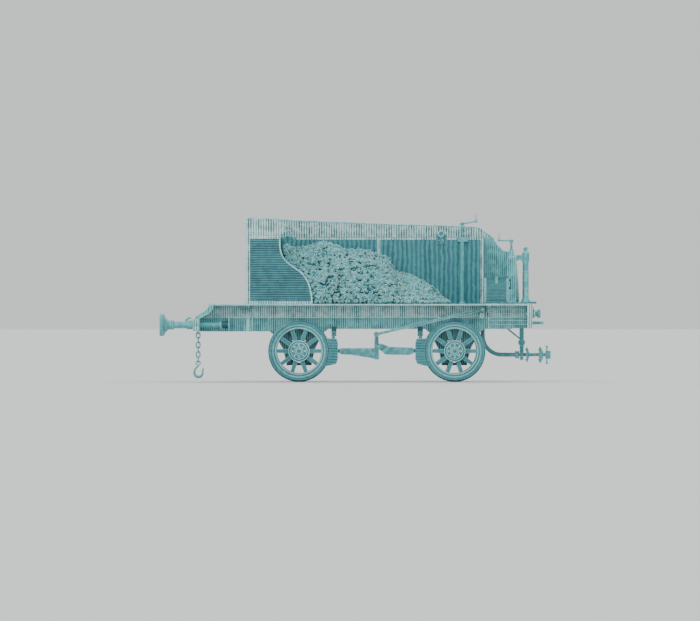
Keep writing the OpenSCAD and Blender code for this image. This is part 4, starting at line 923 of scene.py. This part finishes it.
@dataclass
class CokeHeap:
    """Loose angular lumps that lie on the heap, over a rough core whose darker colour is painted shade between the
    lumps.
    """

    seed: int = 7
    drop: float = 0.03
    far_drop: float = 0.05
    near_inset: float = 0.075
    foot_pitch: float = 0.068
    tries: int = 14000
    spacing: float = 0.058
    smallest: float = 0.052
    largest: float = 0.096
    sink: float = 0.012
    corners: int = 13
    steepest: float = 0.12
    tilt: float = 0.9

    def build(self, frame: dict) -> None:
        """Builds the core and the lumps, in place of the plain heap.

        Args:
            frame: the loaded frame, whose heap gives the surface.
        """
        heap = frame["nodes"]["coke_load"]
        core = self._core(heap)
        lumps = self._lumps(heap)
        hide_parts("coke_load")
        LOG.info("coke: core %d faces, lumps %d faces", len(core.data.polygons), len(lumps.data.polygons))

    def _core(self, heap: bpy.types.Object) -> bpy.types.Object:
        """Makes a slightly lower copy of the heap that shows between the lumps, in a dark finish that is painted
        shade.

        Args:
            heap: the plain heap.

        Returns:
            The core.
        """
        mesh = heap.data.copy()
        mesh.materials.clear()
        mesh.materials.append(COKE_SHADOW.material())
        obj = bpy.data.objects.new("coke_core", mesh)
        bpy.context.scene.collection.objects.link(obj)
        span = Span.of("coke_load")
        for v in mesh.vertices:
            across = (v.co.y - span.low.y) / (span.high.y - span.low.y)
            v.co.z = span.low.z + max(0.0, v.co.z - span.low.z - self.drop - self.far_drop * across)
            v.co.y = max(v.co.y, span.low.y + self.near_inset)
        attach(obj, ROOT)
        return obj

    def _lumps(self, heap: bpy.types.Object) -> bpy.types.Object:
        """Scatters lumps evenly over the heap's upper faces, and lays two rows along its near foot.

        Args:
            heap: the plain heap.

        Returns:
            One piece with all the lumps.
        """
        draw = random.Random(self.seed)
        span = Span.of("coke_load")
        faces, weights = [], []
        for face in heap.data.polygons:
            if face.normal.z > self.steepest:
                corners = [heap.data.vertices[i].co for i in face.vertices]
                for k in range(1, len(corners) - 1):
                    a, b, c = corners[0], corners[k], corners[k + 1]
                    faces.append((a, b, c, face.normal))
                    weights.append((b - a).cross(c - a).length)
        kept: dict[tuple[int, ...], list[Vector]] = {}
        maker = MeshMaker()
        count = 0
        for a, b, c, normal in draw.choices(faces, weights, k=self.tries):
            u, v = sorted((draw.random(), draw.random()))
            place = a * u + b * (v - u) + c * (1 - v)
            size = draw.uniform(self.smallest, self.largest)
            squash = Vector((draw.uniform(0.8, 1.25), draw.uniform(0.7, 1.0), draw.uniform(0.5, 0.85)))
            spin = (Matrix.Rotation(draw.uniform(0, 6.28), 3, "Z")
                    @ Matrix.Rotation(draw.uniform(-self.tilt, self.tilt), 3, "X")
                    @ Matrix.Rotation(draw.uniform(-self.tilt, self.tilt), 3, "Y"))
            shape = [Vector((draw.gauss(0, 1), draw.gauss(0, 1), draw.gauss(0, 1))).normalized()
                     * draw.uniform(0.8, 1.0) for _ in range(self.corners)]
            cell = tuple(int(math.floor(q / self.spacing)) for q in place)
            near = [p for i in (-1, 0, 1) for j in (-1, 0, 1) for k in (-1, 0, 1)
                    for p in kept.get((cell[0] + i, cell[1] + j, cell[2] + k), ())]
            if any((p - place).length < self.spacing for p in near):
                continue
            kept.setdefault(cell, []).append(place)
            centre = place - normal * self.sink
            size = min(size, 0.045 + 0.8 * (place.z - span.low.z))
            centre.z = max(centre.z, span.low.z + size * 0.6)
            centre.y = min(max(centre.y, span.low.y + size * 0.7), span.high.y + 0.018 - size)
            centre.x = max(centre.x, span.low.x + size * 0.9)
            self._lump(maker, [centre + (spin @ Vector((p.x * squash.x, p.y * squash.y, p.z * squash.z))) * size
                               for p in shape])
            count += 1
        for row, (inset, lift, end) in enumerate(((0.052, 0.040, 0.06), (0.085, 0.105, 0.32))):
            for x in spaced(span.low.x + 0.08 + 0.03 * row, span.high.x - end, self.foot_pitch):
                size = draw.uniform(0.046, 0.066)
                centre = Vector((x, span.low.y + inset + draw.uniform(-0.004, 0.014), span.low.z + lift))
                self._lump(maker, [centre + size * draw.uniform(0.6, 0.78)
                                   * Vector((draw.gauss(0, 1), draw.gauss(0, 1), draw.gauss(0, 1))).normalized()
                                   for _ in range(self.corners)])
                count += 1
        LOG.info("coke: %d lumps", count)
        return maker.build("coke_lumps", FINISHES["coke"], ROOT, "coke", smooth=False)

    @staticmethod
    def _lump(maker: MeshMaker, points: list[Vector]) -> None:
        """Adds one lump: the faceted skin stretched round a few points.

        Args:
            maker: the mesh that gets the lump.
            points: the points, of which the inner ones are dropped.
        """
        made = bmesh.new()
        for p in points:
            made.verts.new(p)
        bmesh.ops.convex_hull(made, input=made.verts[:])
        loose = [v for v in made.verts if not v.link_faces]
        bmesh.ops.delete(made, geom=loose, context="VERTS")
        bmesh.ops.recalc_face_normals(made, faces=made.faces[:])
        made.verts.index_update()
        maker.add([v.co.copy() for v in made.verts], [tuple(v.index for v in f.verts) for f in made.faces])
        made.free()


@dataclass
class ForgedHooks:
    """The draw hook and the chain's hook, forged from round bar."""

    shank_z: float = 1.045
    horn: Point = (-3.045, 0.0, 1.100)
    horn_radius: float = 0.072
    bowl: Point = (-2.888, 0.0, 0.164)
    bowl_radius: float = 0.077
    eye_x: float = -2.895

    def build(self) -> None:
        """Builds both hooks in place of the plain ones."""
        self._draw_hook()
        self._chain_hook()

    def _draw_hook(self) -> None:
        """A horn that rises from the shank and curls back over its mouth."""
        span = Span.of("drawhook")
        shank_z = self.shank_z
        maker = MeshMaker()
        path = [Vector((span.high.x, 0, shank_z)), Vector((-2.93, 0, shank_z)), Vector((-2.962, 0, shank_z - 0.012))]
        path += arc(self.horn, self.horn_radius, -50, -288, 24)
        maker.tube(path, lambda t: 0.030 if t < 0.2 else 0.029 - 0.015 * max(0.0, (t - 0.45) / 0.55), 14)
        nut = [Vector((-2.80, 0, shank_z)), Vector((-2.76, 0, shank_z))]
        maker.tube(nut, lambda _: 0.046, 6)
        hook = maker.build("draw_hook_forging", FINISHES["hook_iron"], "drawhook", "hook_iron")
        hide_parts("drawhook")

    def _chain_hook(self) -> None:
        """An eye, a straight neck and a wide bowl that ends in a tip."""
        span = Span.of("chain_hook")
        maker = MeshMaker()
        eye_z = span.high.z - 0.050
        maker.ring((self.eye_x, 0.0, eye_z), Axis.Y, 0.038, 0.0115, 40)
        path = [Vector((self.eye_x, 0, eye_z - 0.040)), Vector((-2.900, 0, eye_z - 0.062)), Vector((-2.925, 0, 0.262)),
                Vector((-2.952, 0, 0.232))]
        path += arc(self.bowl, self.bowl_radius, 155, 385, 22)
        path += [Vector((-2.803, 0, 0.225)), Vector((-2.796, 0, 0.252))]
        maker.tube(path, lambda t: 0.0125 + 0.0125 * math.sin(math.pi * min(1.0, t * 1.05)), 12)
        hook = maker.build("chain_hook_forging", FINISHES["hook_iron"], "chain_hook", "hook_iron")
        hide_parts("chain_hook")


@dataclass
class WheelTrim:
    """Rings, rivets and hub nuts of the four wheels, and the collar of the brake's cross shaft."""

    rivets: int = 40
    ring_radius: float = 0.509
    hub_nuts: int = 8
    hub_circle: float = 0.113

    def build(self) -> None:
        """Builds the trim of both wheelsets."""
        for end in ("rear", "front"):
            axle, tyres, wheels = Span.of(f"axle_{end}"), Span.of(f"tyres_{end}"), Span.of(f"wheels_{end}")
            c = axle.middle
            dots, rings = MeshMaker(), MeshMaker()
            for side, axis in ((-1, Axis.NEAR), (1, Axis.Y)):
                face = side * tyres.high.y
                for i in range(self.rivets):
                    a = 2 * math.pi * (i + 0.5) / self.rivets
                    dots.dome((c.x + self.ring_radius * math.cos(a), face, c.z + self.ring_radius * math.sin(a)),
                              axis, 0.011, 0.009)
                hub = side * wheels.high.y
                for i in range(self.hub_nuts):
                    a = 2 * math.pi * i / self.hub_nuts
                    place = (c.x + self.hub_circle * math.cos(a), hub, c.z + self.hub_circle * math.sin(a))
                    dots.nut(place, axis, 0.014, 0.014)
                boss, rim = hub - side * 0.002, side * (tyres.high.y - 0.008)
                for y, radius, bar, sides in ((boss, 0.148, 0.007, 64), (boss, 0.078, 0.007, 40),
                                              (face - side * 0.001, 0.190, 0.008, 64), (rim, 0.425, 0.007, 64),
                                              (side * axle.high.y, 0.046, 0.006, 32), (rim, 0.470, 0.004, 64)):
                    rings.ring((c.x, y, c.z), axis, radius, bar, sides)
            dots.build(f"wheel_rivets_{end}", FINISHES["tyre_steel"], f"wheelset_{end}", "tyre_steel")
            rings.build(f"wheel_rings_{end}", FINISHES["trim_paint"], f"wheelset_{end}", "bulkhead_paint")
        shaft = Span.of("brake_shaft")
        collar = MeshMaker()
        for side in (-1, 1):
            for radius in (0.040, 0.022):
                collar.ring((SHAFT_X, side * shaft.high.y, SHAFT_Z), Axis.Y, radius, 0.005, 32)
        collar.build("shaft_collars", FINISHES["trim_paint"], "brake_shaft", "brake_iron")


@dataclass
class BufferSprings:
    """Coils behind the rear buffers."""

    turns: int = 5
    per_turn: int = 24
    bar: float = 0.010
    squeezed: float = 0.42

    def build(self) -> None:
        """Builds a coil on each side, in place of the plain spring."""
        for side in ("near", "far"):
            span = Span.of(f"buffer_spring_{side}")
            c = span.middle
            radius = span.high.z - c.z - self.bar
            steps = self.turns * self.per_turn
            reach = span.high.x - span.low.x - 2 * self.bar
            turns = [2 * math.pi * i / self.per_turn for i in range(steps + 1)]
            path = [Vector((span.low.x + self.bar + reach * i / steps, c.y + radius * math.cos(a),
                            c.z + radius * math.sin(a))) for i, a in enumerate(turns)]
            maker = MeshMaker()
            maker.tube(path, lambda _: self.bar, 8)
            coil = maker.build(f"buffer_coil_{side}", FINISHES["spring_steel"], ROOT, "spring_steel")
            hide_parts(f"buffer_spring_{side}")
            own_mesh(coil)


@dataclass
class BoxBoards:
    """Boards, corner irons and hasp of the toolbox."""

    boards: int = 7
    seam: float = 0.006
    depth: float = 0.010
    rear: float = 2.35
    front: float = 2.79
    width: float = 0.46
    top: float = 1.903

    def build(self) -> None:
        """Builds boards on the near and front sides, corner irons and the lid's hasp."""
        box, lid = Span.of("toolbox"), Span.of("toolbox_lid")
        x0, x1, y0, y1 = self.rear, self.front, box.low.y, box.low.y + self.width
        z0, top = box.low.z, self.top
        step = (top - z0) / self.boards
        maker = MeshMaker()
        for i in range(self.boards):
            low, high = z0 + i * step + self.seam / 2, z0 + (i + 1) * step - self.seam / 2
            maker.box((x0 + 0.002, y0 - self.depth, low), (x1, y0, high), 0.003)
            maker.box((x1, y0, low), (x1 + self.depth, y1, high), 0.003)
        boards = maker.build("toolbox_boards", FINISHES["box_timber"], ROOT, "box_timber")
        irons = MeshMaker()
        for x in (x0 + 0.002, x1 - 0.03):
            irons.box((x, y0 - self.depth - 0.005, z0), (x + 0.035, y0 - self.depth, top), 0.002)
            for z in spaced(z0 + 0.05, top - 0.04, 0.12):
                irons.dome((x + 0.017, y0 - self.depth - 0.005, z), Axis.NEAR, 0.009, 0.007)
        irons.build("toolbox_irons", FINISHES["fitting_iron"], ROOT, "fitting_iron")
        hasp = MeshMaker()
        mid = (lid.low.x + lid.high.x) / 2
        hasp.box((mid - 0.022, lid.low.y - 0.006, 1.80), (mid + 0.022, lid.low.y, lid.high.z - 0.012), 0.002)
        hasp.ring((mid, lid.low.y - 0.010, 1.835), Axis.Y, 0.016, 0.004, 24)
        hasp.build("toolbox_hasp", FINISHES["crank_steel"], "toolbox_lid", "crank_steel")
        LOG.info("toolbox boards: %d faces", len(boards.data.polygons))


@dataclass
class PipeFastenings:
    """Bolts round the flanges of the feed pipe and the valve."""

    centre: tuple[float, float] = (0.46, 0.495)
    flanges: tuple[float, float] = (3.140, 3.375)
    circle: float = 0.108
    valve: Point = (1.96, 0.46, 1.448)
    valve_circle: float = 0.046

    def build(self) -> None:
        """Builds the bolts."""
        cy, cz = self.centre
        slide, fixed = MeshMaker(), MeshMaker()
        for i in range(6):
            a = 2 * math.pi * i / 6
            for x in self.flanges:
                place = (x, cy + self.circle * math.cos(a), cz + self.circle * math.sin(a))
                slide.nut(place, Axis.REAR, 0.013, 0.014)
            foot = (self.valve[0] + self.valve_circle * math.cos(a), self.valve[1] + self.valve_circle * math.sin(a),
                    self.valve[2])
            fixed.nut(foot, Axis.Z, 0.006, 0.007)
        slide.build("flange_nuts", FINISHES["fitting_iron"], "feed_slider", "fitting_iron")
        fixed.build("valve_foot_nuts", FINISHES["fitting_iron"], ROOT, "fitting_iron")


@dataclass
class Studio:
    """Plain pale floor, soft lights and the camera at the side."""

    view_width: float = 12.86
    lens: float = 600.0
    centre: Point = (-0.105, 0.0, 1.308)
    sensor: float = 36.0
    clip_end: float = 900.0
    floor_radius: float = 600.0
    floor_sides: int = 96

    def build(self) -> None:
        """Builds the stage."""
        self._floor()
        self._lights()
        self._camera()

    def _floor(self) -> None:
        """A wide pale disc."""
        sides, radius = self.floor_sides, self.floor_radius
        mesh = bpy.data.meshes.new("studio_floor")
        mesh.from_pydata([(radius * math.cos(2 * math.pi * i / sides), radius * math.sin(2 * math.pi * i / sides), 0.0)
                          for i in range(sides)], [], [tuple(range(sides))])
        obj = bpy.data.objects.new("studio_floor", mesh)
        bpy.context.scene.collection.objects.link(obj)
        mat = bpy.data.materials.new("floor_pale")
        mat.use_nodes = True
        shader = mat.node_tree.nodes["Principled BSDF"]
        shader.inputs["Base Color"].default_value = (0.60, 0.61, 0.61, 1.0)
        shader.inputs["Roughness"].default_value = 0.85
        mesh.materials.append(mat)

    def _lights(self) -> None:
        """Soft lights from both sides, and a pale world."""
        world = bpy.data.worlds.new("studio_world")
        bpy.context.scene.world = world
        world.use_nodes = True
        world.node_tree.nodes["Background"].inputs[0].default_value = (0.92, 0.94, 0.94, 1.0)
        world.node_tree.nodes["Background"].inputs[1].default_value = 0.88
        for name, towards, spread, power in (("key", (0.45, 0.80, -0.75), 45, 1.60),
                                             ("back_key", (-0.45, -0.80, -0.75), 45, 1.40),
                                             ("low_near", (-0.35, 0.9, -0.22), 60, 0.70),
                                             ("low_far", (0.35, -0.9, -0.22), 60, 0.60)):
            lamp = bpy.data.lights.new(name, "SUN")
            lamp.angle = math.radians(spread)
            lamp.energy = power
            obj = bpy.data.objects.new(name, lamp)
            obj.rotation_euler = Vector(towards).to_track_quat("-Z", "Y").to_euler()
            bpy.context.scene.collection.objects.link(obj)

    def _camera(self) -> None:
        """A long lens that looks square at the near side."""
        data = bpy.data.cameras.new("camera")
        data.lens = self.lens
        data.sensor_width = self.sensor
        distance = self.view_width * self.lens / self.sensor
        data.clip_end = self.clip_end
        obj = bpy.data.objects.new("camera", data)
        obj.location = (self.centre[0], self.centre[1] - distance, self.centre[2])
        obj.rotation_euler = (math.radians(90), 0, 0)
        bpy.context.scene.collection.objects.link(obj)
        bpy.context.scene.camera = obj


def main() -> None:
    """Loads the frame and builds each sub-assembly in order."""
    logging.basicConfig(level=logging.INFO, format="%(name)s: %(message)s")
    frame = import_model()
    Studio().build()
    Paintwork(frame).dress()
    FrameFastenings().build()
    TankTrim().build()
    CokeHeap().build(frame)
    ForgedHooks().build()
    WheelTrim().build()
    BufferSprings().build()
    BoxBoards().build()
    PipeFastenings().build()


if __name__ == "__main__":
    main()
